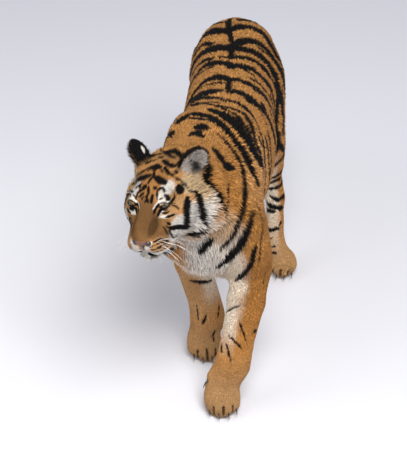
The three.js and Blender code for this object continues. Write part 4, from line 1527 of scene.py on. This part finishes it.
    def band_tail(self, body: Array, ragged: Array, black: Array) -> None:
        """Ring the tail with black, closer towards its black tip.

        Args:
            body: places on the skeleton.
            ragged: the ragged edge's offset.
            black: how black each place is; raised here.
        """
        index = np.nonzero((body[:, 1] > 560) & (body[:, 2] < 800))[0]
        path = np.array(TAIL, np.float32)
        steps = np.linalg.norm(np.diff(path, axis=0), axis=1)
        gone = np.concatenate([[0.0], np.cumsum(steps)])
        best = np.full(len(index), 1e6, np.float32)
        along = np.zeros(len(index), np.float32)
        for k, (a, b) in enumerate(zip(path[:-1], path[1:])):
            t = np.clip((body[index] - a) @ (b - a) / float((b - a) @ (b - a)), 0, 1)
            away = np.linalg.norm(body[index] - a - t[:, None] * (b - a), axis=-1)
            closer = away < best
            best = np.where(closer, away, best)
            along = np.where(closer, gone[k] + t * steps[k], along)
        pitch = 82.0
        wave = np.abs((along / pitch + 0.08 * drift(body[index], 60.0)) % 1.0 - 0.5) * pitch
        ring = 1 - ramp(wave + ragged[index] * 1.5, 9 + along * 0.008, 13 + along * 0.008)
        tip = ramp(along, gone[-1] - 95, gone[-1] - 70)
        black[index] = np.maximum(black[index], np.maximum(ring, tip) * ramp(along, 60, 110) * (best < 90))

    def colours(self, points: Array, normals: Array) -> tuple[Array, Array]:
        """Colour points of the skin.

        Args:
            points: the points, in metres.
            normals: the skin's normals.

        Returns:
            The colours, linear, and how black each point is.
        """
        black = self.blackness(points, normals)
        return mixed(self.base(points, normals), DYES.black, black), black


def lip_line(p: Array) -> Array:
    """Measure the distance to the line where the lips meet.

    Args:
        p: places on the head's axes, in millimetres.

    Returns:
        The distances, in millimetres.
    """
    p = unturned(p)
    parts = [limb(p, (102, 0, -106), (96, 0, -132), 2.0, 2.4)]
    for side in SIDES:
        parts += [
            limb(p, (96, side * 2, -133), (85, side * 26, -139), 2.6, 2.6),
            limb(p, (85, side * 26, -139), (58, side * 54, -142), 2.6, 3.0),
            limb(p, (58, side * 54, -142), (16, side * 78, -130), 3.0, 2.0),
        ]
    return np.minimum.reduce(parts)


def lip_and_chin_shadow(p: Array) -> Array:
    """Measure the distance to the black lower lip and the painted shadow under the upper lip.

    Args:
        p: places on the head's axes, in millimetres.

    Returns:
        The distances, in millimetres.
    """
    p = unturned(p)
    parts = []
    for side in SIDES:
        parts += [
            limb(p, (90, side * 14, -150), (64, side * 46, -156), 5.0, 9.0),
            limb(p, (64, side * 46, -156), (36, side * 72, -150), 9.0, 15.0),
            limb(p, (36, side * 72, -150), (0, side * 82, -138), 15.0, 12.0),
        ]
    return np.minimum.reduce(parts)


def mixed(colours: Array, dye: Point | Array, share: Array) -> Array:
    """Blend colours towards a dye by each one's share."""
    share = share[:, None].astype(np.float32)
    return colours * (1 - share) + np.asarray(dye, np.float32) * share


# ---- The coat -----------------------------------------------------------------------------------
@dataclass(frozen=True)
class LockShape:
    """How a lock is built: rings from root to tip as (share of length, share of width)."""

    rings: tuple[tuple[float, float], ...]

    @property
    def faces(self) -> Array:
        """Join the rings.

        Returns:
            One lock's triangles: a closed root, three sides and a tip.
        """
        last = len(self.rings) - 1
        faces = [(0, 2, 1)]
        for ring in range(last):
            for k in range(3):
                a, b = ring * 3 + k, ring * 3 + (k + 1) % 3
                faces += [(a, b, b + 3), (a, b + 3, a + 3)]
        tip = (last + 1) * 3
        faces += [(last * 3 + k, last * 3 + (k + 1) % 3, tip) for k in range(3)]
        return np.array(faces, np.int64)


TINY = LockShape(((0.0, 1.3),))
SHORT = LockShape(((0.0, 0.8), (0.45, 1.0)))
LONG = LockShape(((0.0, 0.7), (0.33, 1.0), (0.7, 0.7)))


@dataclass
class Coat:
    """All the hair: flat tapered locks rooted in the skin.

    No point goes below FLOOR. A lock takes its colour from what lies under it at the two SEEN shares
    of its length, and stands THICK of its width high.
    """

    skin: Skin
    groom: Groom
    markings: Markings
    cover: float = 4.0

    FLOOR = np.array([-9.0, -9.0, 0.0004], np.float32)
    SEEN = (0.4, 0.7)
    THICK = 0.32
    PATCH = 0.003

    def roots(self, rng: np.random.Generator) -> dict[str, Array]:
        """Scatter roots over the skin, as closely as the locks there are wide.

        Args:
            rng: the source of chance.

        Returns:
            Root places, normals, triangle numbers and corner shares.
        """
        quads = self.skin.quads
        tris = np.concatenate([quads[:, [0, 1, 2]], quads[:, [0, 2, 3]]])
        owner = np.concatenate([np.arange(len(quads))] * 2)
        corners = self.skin.points[tris]
        cross = np.cross(corners[:, 1] - corners[:, 0], corners[:, 2] - corners[:, 0])
        area = np.linalg.norm(cross, axis=-1) / 2
        middle = corners.mean(1)
        normal = unit(cross)
        _, sizes, _ = self.groom.of(middle, normal)
        wanted = self.cover * area / (sizes[:, 0] * sizes[:, 2])
        count = (wanted + rng.random(len(wanted))).astype(int)
        count[bare(middle)] = 0
        number = np.repeat(np.arange(len(tris)), count)
        u, v = rng.random(len(number)), rng.random(len(number))
        flip = u + v > 1
        u[flip], v[flip] = 1 - u[flip], 1 - v[flip]
        share = np.stack([1 - u - v, u, v], -1).astype(np.float32)
        place = (corners[number] * share[..., None]).sum(1)
        normals = unit((self.skin.normals[tris[number]] * share[..., None]).sum(1))
        return {"place": place, "normal": normals, "face": owner[number], "tri": tris[number], "share": share}

    def build(self) -> list[bpy.types.Object]:
        """Make the coat's pieces.

        Returns:
            One object for each region.
        """
        rng = np.random.default_rng(SEED)
        roots = self.roots(rng)
        way, sizes, main = self.groom.of(roots["place"], roots["normal"])
        near, far = (
            self.markings.colours(roots["place"] + way * (at * sizes[:, :1]), roots["normal"])[0]
            for at in self.SEEN
        )
        names = np.array([region.value for region in self.groom.regions])[main]
        log.info("%d locks", len(way))
        pieces = []
        for region in Region:
            pick = np.nonzero(names == region.value)[0]
            if len(pick):
                pieces.append(self.piece(region, pick, roots, way, sizes, near, far, rng))
        return pieces

    def piece(self, region: Region, pick: Array, roots: dict[str, Array], way: Array, sizes: Array,
              near: Array, far: Array, rng: np.random.Generator) -> bpy.types.Object:
        """Make one region's locks.

        Args:
            region: the region.
            pick: the numbers of its roots.
            roots: all the roots.
            way: the hair's way at each root.
            sizes: length, lift and width at each root.
            near: the coat's colour by each root.
            far: its colour by each tip.
            rng: the source of chance.

        Returns:
            The region's object.
        """
        place, normal, way = roots["place"][pick], roots["normal"][pick], way[pick]
        length, lift, width = sizes[pick].T
        count = len(pick)
        length = length * rng.uniform(0.7, 1.15, count)
        lift = lift * rng.uniform(0.6, 1.25, count)
        across = np.cross(way, normal)
        swing = drift(place, 0.03) * 0.35 + rng.normal(0, 0.13, count)
        way = unit(way + across * swing[:, None])
        across = np.cross(way, normal)
        middling = float(np.median(length))
        shape = LONG if middling > 0.03 else SHORT if middling > 0.018 else TINY
        rise = np.sin(lift) * length
        run = np.cos(lift) * length
        thick = width * self.THICK
        points, shade = [], []
        for at, wide in shape.rings:
            middle = place + way * (run * at)[:, None] + normal * (rise * (1.5 * at - 0.5 * at * at))[:, None]
            middle -= normal * (thick * (0.6 if at == 0 else 0.0))[:, None]
            half = (width * wide * 0.55)[:, None] * across
            top = (thick * wide)[:, None] * normal
            corners = (middle - half, middle + half, middle + top)
            points += [np.maximum(corner, self.FLOOR) for corner in corners]
            shade += [at] * 3
        tip = place + way * run[:, None] + normal * rise[:, None]
        points.append(np.maximum(tip - normal * (length * 0.06)[:, None], self.FLOOR))
        shade.append(1.0)
        per = len(shade)
        points = np.stack(points, 1).reshape(-1, 3)
        faces = (shape.faces[None] + (np.arange(count) * per)[:, None, None]).reshape(-1, 3)
        thing = made(region.value, points, faces)
        along = np.array(shade, np.float32)
        tone = rng.normal(1.0, 0.15, count)
        low = 0.86 if shape is TINY else 0.62
        light = (low + (1.18 - low) * along)[None, :, None] * tone[:, None, None]
        late = np.clip((along - self.SEEN[0]) / (self.SEEN[1] - self.SEEN[0]), 0, 1)[None, :, None]
        tint = np.clip((near[pick][:, None, :] * (1 - late) + far[pick][:, None, :] * late) * light, 0, 1)
        write_colour(thing, tint.reshape(-1, 3))
        self.bake_map(thing, pick, roots, shade, shape)
        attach(thing, "root")
        return thing

    def bake_map(self, thing: bpy.types.Object, pick: Array, roots: dict[str, Array], shade: list[float],
                 shape: LockShape) -> None:
        """Give a piece its OFBake map: each lock a small patch at its root's place on the unwrapped skin.

        Args:
            thing: the piece.
            pick: the numbers of its roots.
            roots: all the roots.
            shade: each of a lock's points' share of its length.
            shape: the lock's build.
        """
        used, faces = np.unique(roots["face"][pick], return_inverse=True)
        quads = self.skin.quads[used]
        spots, index = np.unique(quads, return_inverse=True)
        sheet = made("unwrap", self.skin.points[spots], index.reshape(-1, 4))
        bpy.context.view_layer.objects.active = sheet
        sheet.select_set(True)
        bpy.ops.object.mode_set(mode="EDIT")
        bpy.ops.mesh.select_all(action="SELECT")
        bpy.ops.uv.smart_project(angle_limit=math.radians(66), island_margin=0.004)
        bpy.ops.object.mode_set(mode="OBJECT")
        flat = np.empty(len(quads) * 8, np.float32)
        sheet.data.uv_layers[0].data.foreach_get("uv", flat)
        flat = flat.reshape(-1, 4, 2)[faces]
        corner = np.argmax(quads[faces][:, None, :] == roots["tri"][pick][:, :, None], axis=2)
        spot = (np.take_along_axis(flat, corner[..., None], 1) * roots["share"][pick][..., None]).sum(1)
        mesh = sheet.data
        bpy.data.objects.remove(sheet)
        bpy.data.meshes.remove(mesh)
        rise = np.array(shade, np.float32)
        sideways = np.array([0.0, 1.0, 0.5] * len(shape.rings) + [0.5], np.float32)
        uv = spot[:, None, :] + np.stack([sideways - 0.5, rise - 0.5], -1)[None] * self.PATCH
        uv = np.clip(uv, 0.0, 1.0).reshape(-1, 2)
        layer = thing.data.uv_layers.new(name="OFBake")
        loops = np.empty(len(thing.data.loops), np.int32)
        thing.data.loops.foreach_get("vertex_index", loops)
        layer.data.foreach_set("uv", uv[loops].astype(np.float32).ravel())


def bare(points: Array) -> Array:
    """Find the places without hair: the soles, between the lids, the nose leather and the lips.

    Args:
        points: places in metres.

    Returns:
        Whether each is bare.
    """
    head = STANCE.on_head(points)
    none = points[:, 2] < 0.004
    for side in SIDES:
        edge, q = EYE.opening(head, side)
        none |= (edge < 1.5) & (q[:, 0] > 0) & (q[:, 0] < 30)
    leather = ellipsoid(unturned(head), (104, 0, -84), (16, 29, 20))
    return none | (leather < 0) | (lip_line(head) < 0.8)


def drift(points: Array, size: float) -> Array:
    """Wander slowly over space, the same each run.

    Args:
        points: places, (n, 3).
        size: about how long a swell is, in the places' unit.

    Returns:
        A number between -1 and 1 for each place.
    """
    q = points / size
    first = np.sin(q[:, 0] * 1.3 + 1.7 * np.sin(q[:, 1] * 0.7))
    second = np.sin(q[:, 1] * 1.1 + 1.9 * np.sin(q[:, 2] * 0.8))
    third = np.sin(q[:, 2] * 1.2 + 1.5 * np.sin(q[:, 0] * 0.9))
    return (first + second + third) / 3.0


def write_colour(thing: bpy.types.Object, colours: Array) -> None:
    """Store a colour at each point of a mesh as its Coat attribute.

    Args:
        thing: the mesh object.
        colours: its points' colours, linear.
    """
    layer = thing.data.attributes.new("Coat", "FLOAT_COLOR", "POINT")
    full = np.ones((len(colours), 4), np.float32)
    full[:, :3] = colours
    layer.data.foreach_set("color", full.ravel())


# ---- Eyes, nose, claws and whiskers -------------------------------------------------------------
@dataclass(frozen=True)
class Eyeball:
    """One eye: a ball with a clear bulge over its iris."""

    side: float
    rings: int = 40
    spokes: int = 56
    bulge: float = 1.1
    bulge_angle: float = 0.5

    def build(self) -> bpy.types.Object:
        """Make the eye, facing along its gaze, with a map centred on the pupil.

        Returns:
            The eye's object.
        """
        radius = EYE.radius - 0.3
        polar = np.linspace(0.0, math.pi, self.rings + 1)[1:-1]
        turn = np.linspace(0.0, 2 * math.pi, self.spokes, endpoint=False)
        reach = radius + self.bulge * np.exp(-((polar / self.bulge_angle) ** 2))
        ring = np.stack(
            [
                np.repeat(np.cos(polar) * reach, self.spokes),
                np.outer(np.sin(polar) * reach, np.cos(turn)).ravel(),
                np.outer(np.sin(polar) * reach, np.sin(turn)).ravel(),
            ],
            -1,
        )
        poles = [(radius + self.bulge, 0.0, 0.0), (-radius, 0.0, 0.0)]
        local = np.concatenate([ring, poles])
        k = np.arange(self.spokes)
        after = (k + 1) % self.spokes
        first, last = len(ring), len(ring) + 1
        faces = [np.stack([np.full_like(k, first), k, after, after], -1)]
        for r in range(self.rings - 2):
            a, b = r * self.spokes, (r + 1) * self.spokes
            faces.append(np.stack([a + k, b + k, b + after, a + after], -1))
        a = (self.rings - 2) * self.spokes
        faces.append(np.stack([a + k, np.full_like(k, last), a + after, a + after], -1))
        quads = np.concatenate(faces)
        name = "eye_left" if self.side > 0 else "eye_right"
        points = STANCE.head(local @ EYE.axes(self.side) + EYE_CENTRES[self.side])
        mesh = bpy.data.meshes.new(f"{name}_ball")
        mesh.from_pydata(points.tolist(), [], [tuple(dict.fromkeys(q)) for q in quads.tolist()])
        mesh.polygons.foreach_set("use_smooth", np.ones(len(mesh.polygons), bool))
        layer = mesh.uv_layers.new(name="Iris")
        angle = np.arccos(np.clip(local[:, 0] / np.linalg.norm(local, axis=-1), -1, 1))
        flat = unit(local[:, 1:]) * (angle / math.pi)[:, None] * 0.5 + 0.5
        loops = np.empty(len(mesh.loops), np.int32)
        mesh.loops.foreach_get("vertex_index", loops)
        layer.data.foreach_set("uv", flat[loops].astype(np.float32).ravel())
        ball = linked(f"{name}_ball", mesh)
        fix_normals(ball)
        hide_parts(name)
        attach(ball, "root")
        return ball


def fix_normals(thing: bpy.types.Object) -> None:
    """Turn a closed mesh's faces outwards.

    Args:
        thing: the mesh object.
    """
    work = bmesh.new()
    work.from_mesh(thing.data)
    bmesh.ops.recalc_face_normals(work, faces=work.faces)
    work.to_mesh(thing.data)
    work.free()


class NoseLeather:
    """The bare leather of the nose, with its nostrils and the groove down to the lip."""

    STEP = 1.3

    def form(self, p: Array) -> Array:
        """Shape the leather.

        Args:
            p: places on the head's axes, in millimetres.

        Returns:
            The distances to it, in millimetres.
        """
        p = unturned(p)
        body = ellipsoid(p, (98, 0, -75), (15, 31, 11))
        body = union(body, limb(p, (103, 0, -86), (100, 0, -105), 11, 4), 9)
        for side in SIDES:
            body = union(body, ellipsoid(p, (97, side * 22, -79), (14, 12, 11)), 7)
        for side in SIDES:
            nostril = np.minimum(
                limb(p, (115, side * 9, -87), (104, side * 20, -81), 5.0, 4.4),
                limb(p, (106, side * 20, -81), (90, side * 36, -80), 3.8, 2.6),
            )
            body = cut(body, nostril, 2.5)
        return cut(body, limb(p, (118, 0, -78), (110, 0, -108), 1.6, 2.2), 2.5)

    def build(self) -> bpy.types.Object:
        """Make the leather.

        Returns:
            Its object.
        """
        spans = ((78, 122), (-40, 46), (-116, -56))
        axes = [np.arange(low, high, self.STEP) for low, high in spans]
        nodes = crossings(axes)
        values = self.form(nodes).reshape(tuple(len(a) for a in axes)).astype(np.float32)
        points, quads = Lattice(axes, values).surface(0.6)
        leather = made("nose_leather", STANCE.head(points), quads)
        fix_normals(leather)
        dark = np.zeros(len(points), np.float32)
        for side in SIDES:
            nostril = limb(unturned(points), (112, side * 10, -86), (90, side * 35, -80), 6, 5)
            dark = np.maximum(dark, 1 - ramp(nostril, -1, 3))
        dark = np.maximum(dark, 0.8 * (1 - ramp(points[:, 2], -104, -92)))
        dark = np.maximum(dark, 0.85 * ramp(np.abs(unturned(points)[:, 1]), 12, 24))
        pink, edge = np.array([0.16, 0.066, 0.042]), np.array([0.010, 0.007, 0.006])
        write_colour(leather, pink * (1 - dark[:, None]) + edge * dark[:, None])
        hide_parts("nose")
        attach(leather, "root")
        return leather


class Claws:
    """The claws of one paw, as smooth curved horn."""

    def __init__(self, paw: str) -> None:
        """Take the paw's name, such as fore_left."""
        self.paw = paw
        self.nodes = sorted(name for name in frame["nodes"] if name.startswith(f"{paw}_claw_"))

    def build(self) -> bpy.types.Object:
        """Round the paw's claws and join them in one piece.

        Returns:
            The claws' object.
        """
        work = bmesh.new()
        for node in self.nodes:
            work.from_mesh(frame["nodes"][node].data)
        bmesh.ops.remove_doubles(work, verts=work.verts, dist=1e-5)
        bmesh.ops.recalc_face_normals(work, faces=work.faces)
        mesh = bpy.data.meshes.new(f"claws_{self.paw}")
        work.to_mesh(mesh)
        work.free()
        mesh.polygons.foreach_set("use_smooth", np.ones(len(mesh.polygons), bool))
        horn = linked(mesh.name, mesh)
        rounder = horn.modifiers.new("round", "SUBSURF")
        rounder.levels = rounder.render_levels = 2
        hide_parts(*self.nodes)
        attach(horn, "root")
        return horn


class Graph:
    """Adds nodes and links to one node tree."""

    def __init__(self, tree: bpy.types.NodeTree) -> None:
        """Take the tree."""
        self.tree = tree

    def node(self, kind: str, inputs: Inputs | None = None, **settings: object) -> bpy.types.Node:
        """Add a node.

        Args:
            kind: the node's type.
            inputs: values for its inputs, by name or number.
            settings: its other settings.

        Returns:
            The node.
        """
        added = self.tree.nodes.new(kind)
        for name, value in settings.items():
            setattr(added, name, value)
        for name, value in (inputs or {}).items():
            added.inputs[name].default_value = value
        return added

    def link(self, a: bpy.types.Node, out: str | int, b: bpy.types.Node, into: str | int) -> None:
        """Join an output of one node to an input of another."""
        self.tree.links.new(a.outputs[out], b.inputs[into])


class Whiskers:
    """The whiskers and brow hairs, grown by a node tree on points that hold their aim and length."""

    SIDES_OF_TUBE = 4
    PIECES = 7

    def rooted(self) -> list[tuple[Array, Array, float]]:
        """Root the whiskers and the brow hairs.

        Returns:
            Each one's root and aim on the head's axes, and its length in metres.
        """
        rng = np.random.default_rng(SEED + 1)
        stems = []
        for side in SIDES:
            for row, path in enumerate(WHISKER_ROWS):
                path = np.array(path, np.float32) * (1, side, 1)
                for t in np.linspace(0.4, 1.8, 4):
                    root = np.array([np.interp(t, (0, 1, 2), path[:, k]) for k in range(3)])
                    aim = np.array([0.3 - 0.7 * t, side * 0.85, -0.3 - 0.2 * row]) + rng.normal(0, 0.12, 3)
                    stems.append((root, aim, (0.05 + 0.026 * t) * rng.uniform(0.65, 1.15)))
            for k in range(3):
                root = np.array([2 - 5 * k, side * (44 + 7 * k), 36])
                aim = np.array([0.25, side * 0.5, 1.0]) + rng.normal(0, 0.15, 3)
                stems.append((root, aim, 0.034 * rng.uniform(0.7, 1.1)))
        return stems

    def tree(self, material: bpy.types.Material) -> bpy.types.NodeTree:
        """Build the tree that grows a bent, tapering hair on each point.

        Args:
            material: the hairs' finish.

        Returns:
            The node tree.
        """
        tree = bpy.data.node_groups.new("whiskers", "GeometryNodeTree")
        face = tree.interface
        face.new_socket("Geometry", in_out="INPUT", socket_type="NodeSocketGeometry")
        face.new_socket("Thickness", in_out="INPUT", socket_type="NodeSocketFloat")
        face.new_socket("Droop", in_out="INPUT", socket_type="NodeSocketFloat")
        face.new_socket("Seed", in_out="INPUT", socket_type="NodeSocketInt")
        face.new_socket("Geometry", in_out="OUTPUT", socket_type="NodeSocketGeometry")

        graph = Graph(tree)
        node, link = graph.node, graph.link
        source, sink = node("NodeGroupInput"), node("NodeGroupOutput")
        bend = node("GeometryNodeCurveQuadraticBezier",
                    {"Resolution": self.PIECES, "Start": (0, 0, 0), "Middle": (0, 0, 0.55)})
        ending = node("ShaderNodeCombineXYZ", {"Z": 0.95})
        link(source, "Droop", ending, "X")
        link(ending, 0, bend, "End")
        share = node("GeometryNodeSplineParameter")
        taper = node("ShaderNodeMapRange", {"To Min": 1.0, "To Max": 0.15})
        link(share, "Factor", taper, "Value")
        radius = node("GeometryNodeSetCurveRadius")
        link(bend, 0, radius, "Curve")
        link(taper, "Result", radius, "Radius")
        ring = node("GeometryNodeCurvePrimitiveCircle", {"Resolution": self.SIDES_OF_TUBE})
        link(source, "Thickness", ring, "Radius")
        tube = node("GeometryNodeCurveToMesh", {"Fill Caps": True})
        link(radius, 0, tube, "Curve")
        link(ring, 0, tube, "Profile Curve")
        aim = node("GeometryNodeInputNamedAttribute", {"Name": "aim"}, data_type="FLOAT_VECTOR")
        along = node("FunctionNodeAlignRotationToVector", axis="Z")
        link(aim, 0, along, "Vector")
        down = node("FunctionNodeAlignRotationToVector", {"Vector": (0, 0, -1)}, axis="X", pivot_axis="Z")
        link(along, 0, down, 0)
        reach = node("GeometryNodeInputNamedAttribute", {"Name": "reach"}, data_type="FLOAT")
        chance = node("FunctionNodeRandomValue", {2: 0.92, 3: 1.08})
        link(source, "Seed", chance, "Seed")
        size = node("ShaderNodeMath", operation="MULTIPLY")
        link(reach, 0, size, 0)
        link(chance, 1, size, 1)
        plant = node("GeometryNodeInstanceOnPoints")
        link(source, "Geometry", plant, "Points")
        link(tube, 0, plant, "Instance")
        link(down, 0, plant, "Rotation")
        link(size, 0, plant, "Scale")
        real = node("GeometryNodeRealizeInstances")
        link(plant, 0, real, 0)
        finish = node("GeometryNodeSetMaterial", {"Material": material})
        link(real, 0, finish, 0)
        link(finish, 0, sink, 0)
        return tree

    def build(self, material: bpy.types.Material) -> bpy.types.Object:
        """Grow the whiskers.

        Args:
            material: their finish.

        Returns:
            The whiskers' object.
        """
        stems = self.rooted()
        roots = STANCE.head(np.array([root for root, _, _ in stems], np.float32))
        host = made("whisker_roots", roots, np.zeros((0, 3), np.int64))
        aims = unit(STANCE.turned(np.array([aim for _, aim, _ in stems], np.float32)))
        host.data.attributes.new("aim", "FLOAT_VECTOR", "POINT").data.foreach_set("vector", aims.ravel())
        reach = np.array([length for _, _, length in stems], np.float32)
        host.data.attributes.new("reach", "FLOAT", "POINT").data.foreach_set("value", reach)
        tree = self.tree(material)
        modifier = host.modifiers.new("whiskers", "NODES")
        modifier.node_group = tree
        wanted = {"Thickness": 0.0055, "Droop": 0.28, "Seed": SEED}
        for item in tree.interface.items_tree:
            if item.name in wanted:
                modifier[item.identifier] = wanted[item.name]
        depsgraph = bpy.context.evaluated_depsgraph_get()
        mesh = bpy.data.meshes.new_from_object(host.evaluated_get(depsgraph))
        host.modifiers.remove(modifier)
        whiskers = linked("whiskers", mesh)
        bpy.data.objects.remove(host)
        fix_normals(whiskers)
        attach(whiskers, "root")
        return whiskers


# ---- Finishes -----------------------------------------------------------------------------------
@dataclass(frozen=True)
class Finish:
    """A surface finish."""

    name: str
    colour: Point = (0.5, 0.5, 0.5)
    rough: float = 0.6
    attribute: str = ""
    gloss: float = 0.0
    shine: float = 0.5
    grain: float = 420.0
    mottle: float = 0.22
    relief: float = 0.0006

    def material(self) -> bpy.types.Material:
        """Make the finish's material.

        Returns:
            The material.
        """
        made_of = bpy.data.materials.new(self.name)
        made_of.use_nodes = True
        shader = made_of.node_tree.nodes["Principled BSDF"]
        shader.inputs["Base Color"].default_value = (*self.colour, 1.0)
        shader.inputs["Roughness"].default_value = self.rough
        shader.inputs["Specular IOR Level"].default_value = self.shine
        shader.inputs["Coat Weight"].default_value = self.gloss
        shader.inputs["Coat Roughness"].default_value = 0.12
        if self.attribute:
            self.roughen(Graph(made_of.node_tree), shader)
        return made_of

    def roughen(self, graph: Graph, shader: bpy.types.Node) -> None:
        """Mottle the stored colour with fine grain and raise the surface by it.

        Args:
            graph: the material's tree.
            shader: the shader that takes the colour.
        """
        node, link = graph.node, graph.link
        colour = node("ShaderNodeAttribute", attribute_name=self.attribute)
        place = node("ShaderNodeTexCoord")
        grain = node("ShaderNodeTexNoise", {"Scale": self.grain, "Detail": 3.0})
        link(place, "Object", grain, "Vector")
        low, high = 1.0 - self.mottle, 1.0 + self.mottle
        spread = node("ShaderNodeMapRange", {"From Min": 0.3, "From Max": 0.7, "To Min": low, "To Max": high})
        link(grain, "Fac", spread, "Value")
        scaled = node("ShaderNodeVectorMath", operation="SCALE")
        link(colour, "Color", scaled, 0)
        link(spread, "Result", scaled, "Scale")
        link(scaled, "Vector", shader, "Base Color")
        bump = node("ShaderNodeBump", {"Strength": 0.4, "Distance": self.relief})
        link(grain, "Fac", bump, "Height")
        link(bump, "Normal", shader, "Normal")


def iris_finish() -> bpy.types.Material:
    """Make the eye's finish: a round pupil, a streaked amber iris, a dark rim and a dull white.

    Returns:
        The material.
    """
    material = bpy.data.materials.new("iris")
    material.use_nodes = True
    graph = Graph(material.node_tree)
    node, link = graph.node, graph.link
    shader = material.node_tree.nodes["Principled BSDF"]
    shader.inputs["Roughness"].default_value = 0.25
    shader.inputs["Coat Weight"].default_value = 1.0
    shader.inputs["Coat Roughness"].default_value = 0.02
    place = node("ShaderNodeUVMap", uv_map="Iris")
    centred = node("ShaderNodeVectorMath", {1: (0.5, 0.5, 0.0)}, operation="SUBTRACT")
    link(place, "UV", centred, 0)
    length = node("ShaderNodeVectorMath", operation="LENGTH")
    link(centred, "Vector", length, 0)
    around = node("ShaderNodeVectorMath", operation="NORMALIZE")
    link(centred, "Vector", around, 0)
    streaks = node("ShaderNodeTexNoise", {"Scale": 9.0, "Detail": 3.0})
    link(around, "Vector", streaks, "Vector")
    spread = node("ShaderNodeMath", {1: 0.03}, operation="MULTIPLY_ADD")
    link(streaks, "Fac", spread, 0)
    link(length, "Value", spread, 2)
    ring = node("ShaderNodeValToRGB")
    stops = (
        (0.0, (0.004, 0.004, 0.004)), (0.052, (0.004, 0.004, 0.004)), (0.06, (0.05, 0.04, 0.010)),
        (0.1, (0.13, 0.10, 0.030)), (0.14, (0.10, 0.066, 0.016)), (0.165, (0.012, 0.009, 0.006)),
        (0.19, (0.09, 0.06, 0.045)), (0.3, (0.16, 0.12, 0.1)),
    )
    while len(ring.color_ramp.elements) < len(stops):
        ring.color_ramp.elements.new(0.5)
    for element, (at, colour) in zip(ring.color_ramp.elements, stops):
        element.position = at
        element.color = (*colour, 1.0)
    link(spread, "Value", ring, "Fac")
    link(ring, "Color", shader, "Base Color")
    return material


# ---- The room -----------------------------------------------------------------------------------
class Studio:
    """The plain floor, the soft light and the camera."""

    def build(self) -> None:
        """Set up the room."""
        floor = made("floor", np.array([(-30, -30, 0), (30, -30, 0), (30, 30, 0), (-30, 30, 0)], np.float32),
                     np.array([[0, 1, 2, 3]]), smooth=False)
        floor.data.materials.append(Finish("floor_paper", (0.72, 0.71, 0.73), 0.9).material())
        world = bpy.data.worlds.new("room")
        world.use_nodes = True
        world.node_tree.nodes["Background"].inputs["Color"].default_value = (0.86, 0.9, 1.0, 1.0)
        world.node_tree.nodes["Background"].inputs["Strength"].default_value = 0.54
        bpy.context.scene.world = world
        self.lamp("key", (0.9, -3.6, 5.0), 3.0, 365.0)
        self.lamp("fill", (-3.2, -1.6, 3.6), 3.0, 52.0)
        self.camera()

    def lamp(self, name: str, at: Point, size: float, power: float) -> None:
        """Hang one soft square lamp that faces the animal's middle.

        Args:
            name: the lamp's name.
            at: where it hangs, in metres.
            size: its side, in metres.
            power: its power, in watts.
        """
        data = bpy.data.lights.new(name, "AREA")
        data.size, data.energy = size, power
        lamp = linked(name, data)
        lamp.location = at
        aim = (CAD_BOX[0] + CAD_BOX[1]) / 2 - lamp.location
        lamp.rotation_euler = aim.to_track_quat("-Z", "Y").to_euler()

    def camera(self) -> None:
        """Set the camera high in front of the animal."""
        data = bpy.data.cameras.new("camera")
        camera = linked("camera", data)
        data.sensor_width, data.lens = 36.0, 160.55
        eye, aim = STANCE.body((0, -6565.2, 4225.3)), STANCE.body((0, -565.0, 620.0))
        camera.location = eye.tolist()
        look = Vector((aim - eye).tolist())
        camera.rotation_euler = look.to_track_quat("-Z", "Y").to_euler()
        bpy.context.scene.camera = camera
        bpy.context.scene.view_settings.view_transform = "Standard"


def small_parts() -> None:
    """Make and dress the eyes, the nose and the claws."""
    iris = iris_finish()
    for side in SIDES:
        Eyeball(side).build().data.materials.append(iris)
    leather = Finish("nose_leather", rough=0.4, attribute="Coat", gloss=0.2, grain=260.0, relief=0.0004)
    NoseLeather().build().data.materials.append(leather.material())
    Whiskers().build(Finish("whisker", (0.82, 0.79, 0.74), 0.35).material())
    horn = Finish("horn", (0.03, 0.024, 0.02), 0.3, gloss=0.4).material()
    for leg in LEGS:
        Claws(leg.name).build().data.materials.append(horn)
    log.info("eyes, nose and claws")


def main() -> None:
    """Build the tiger and its room."""
    logging.basicConfig(level=logging.INFO, format="%(relativeCreated)d ms %(message)s")
    Studio().build()
    groom = Groom()
    skin = Skin(groom)
    hide = skin.build()
    log.info("skin: %d quads", len(skin.quads))
    small_parts()
    markings = Markings()
    colours, _ = markings.colours(skin.points, skin.normals)
    write_colour(hide, colours)
    hide.data.materials.clear()
    hide.data.materials.append(Finish("hide", rough=0.8, attribute="Coat", shine=0.1).material())
    coat = Coat(skin, groom, markings, cover=4.4)
    fur = Finish("fur", rough=0.7, attribute="Coat", shine=0.1).material()
    for piece in coat.build():
        piece.data.materials.append(fur)
        log.info("%s: %d triangles", piece.name, len(piece.data.polygons))
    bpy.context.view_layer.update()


if __name__ == "__main__":
    main()
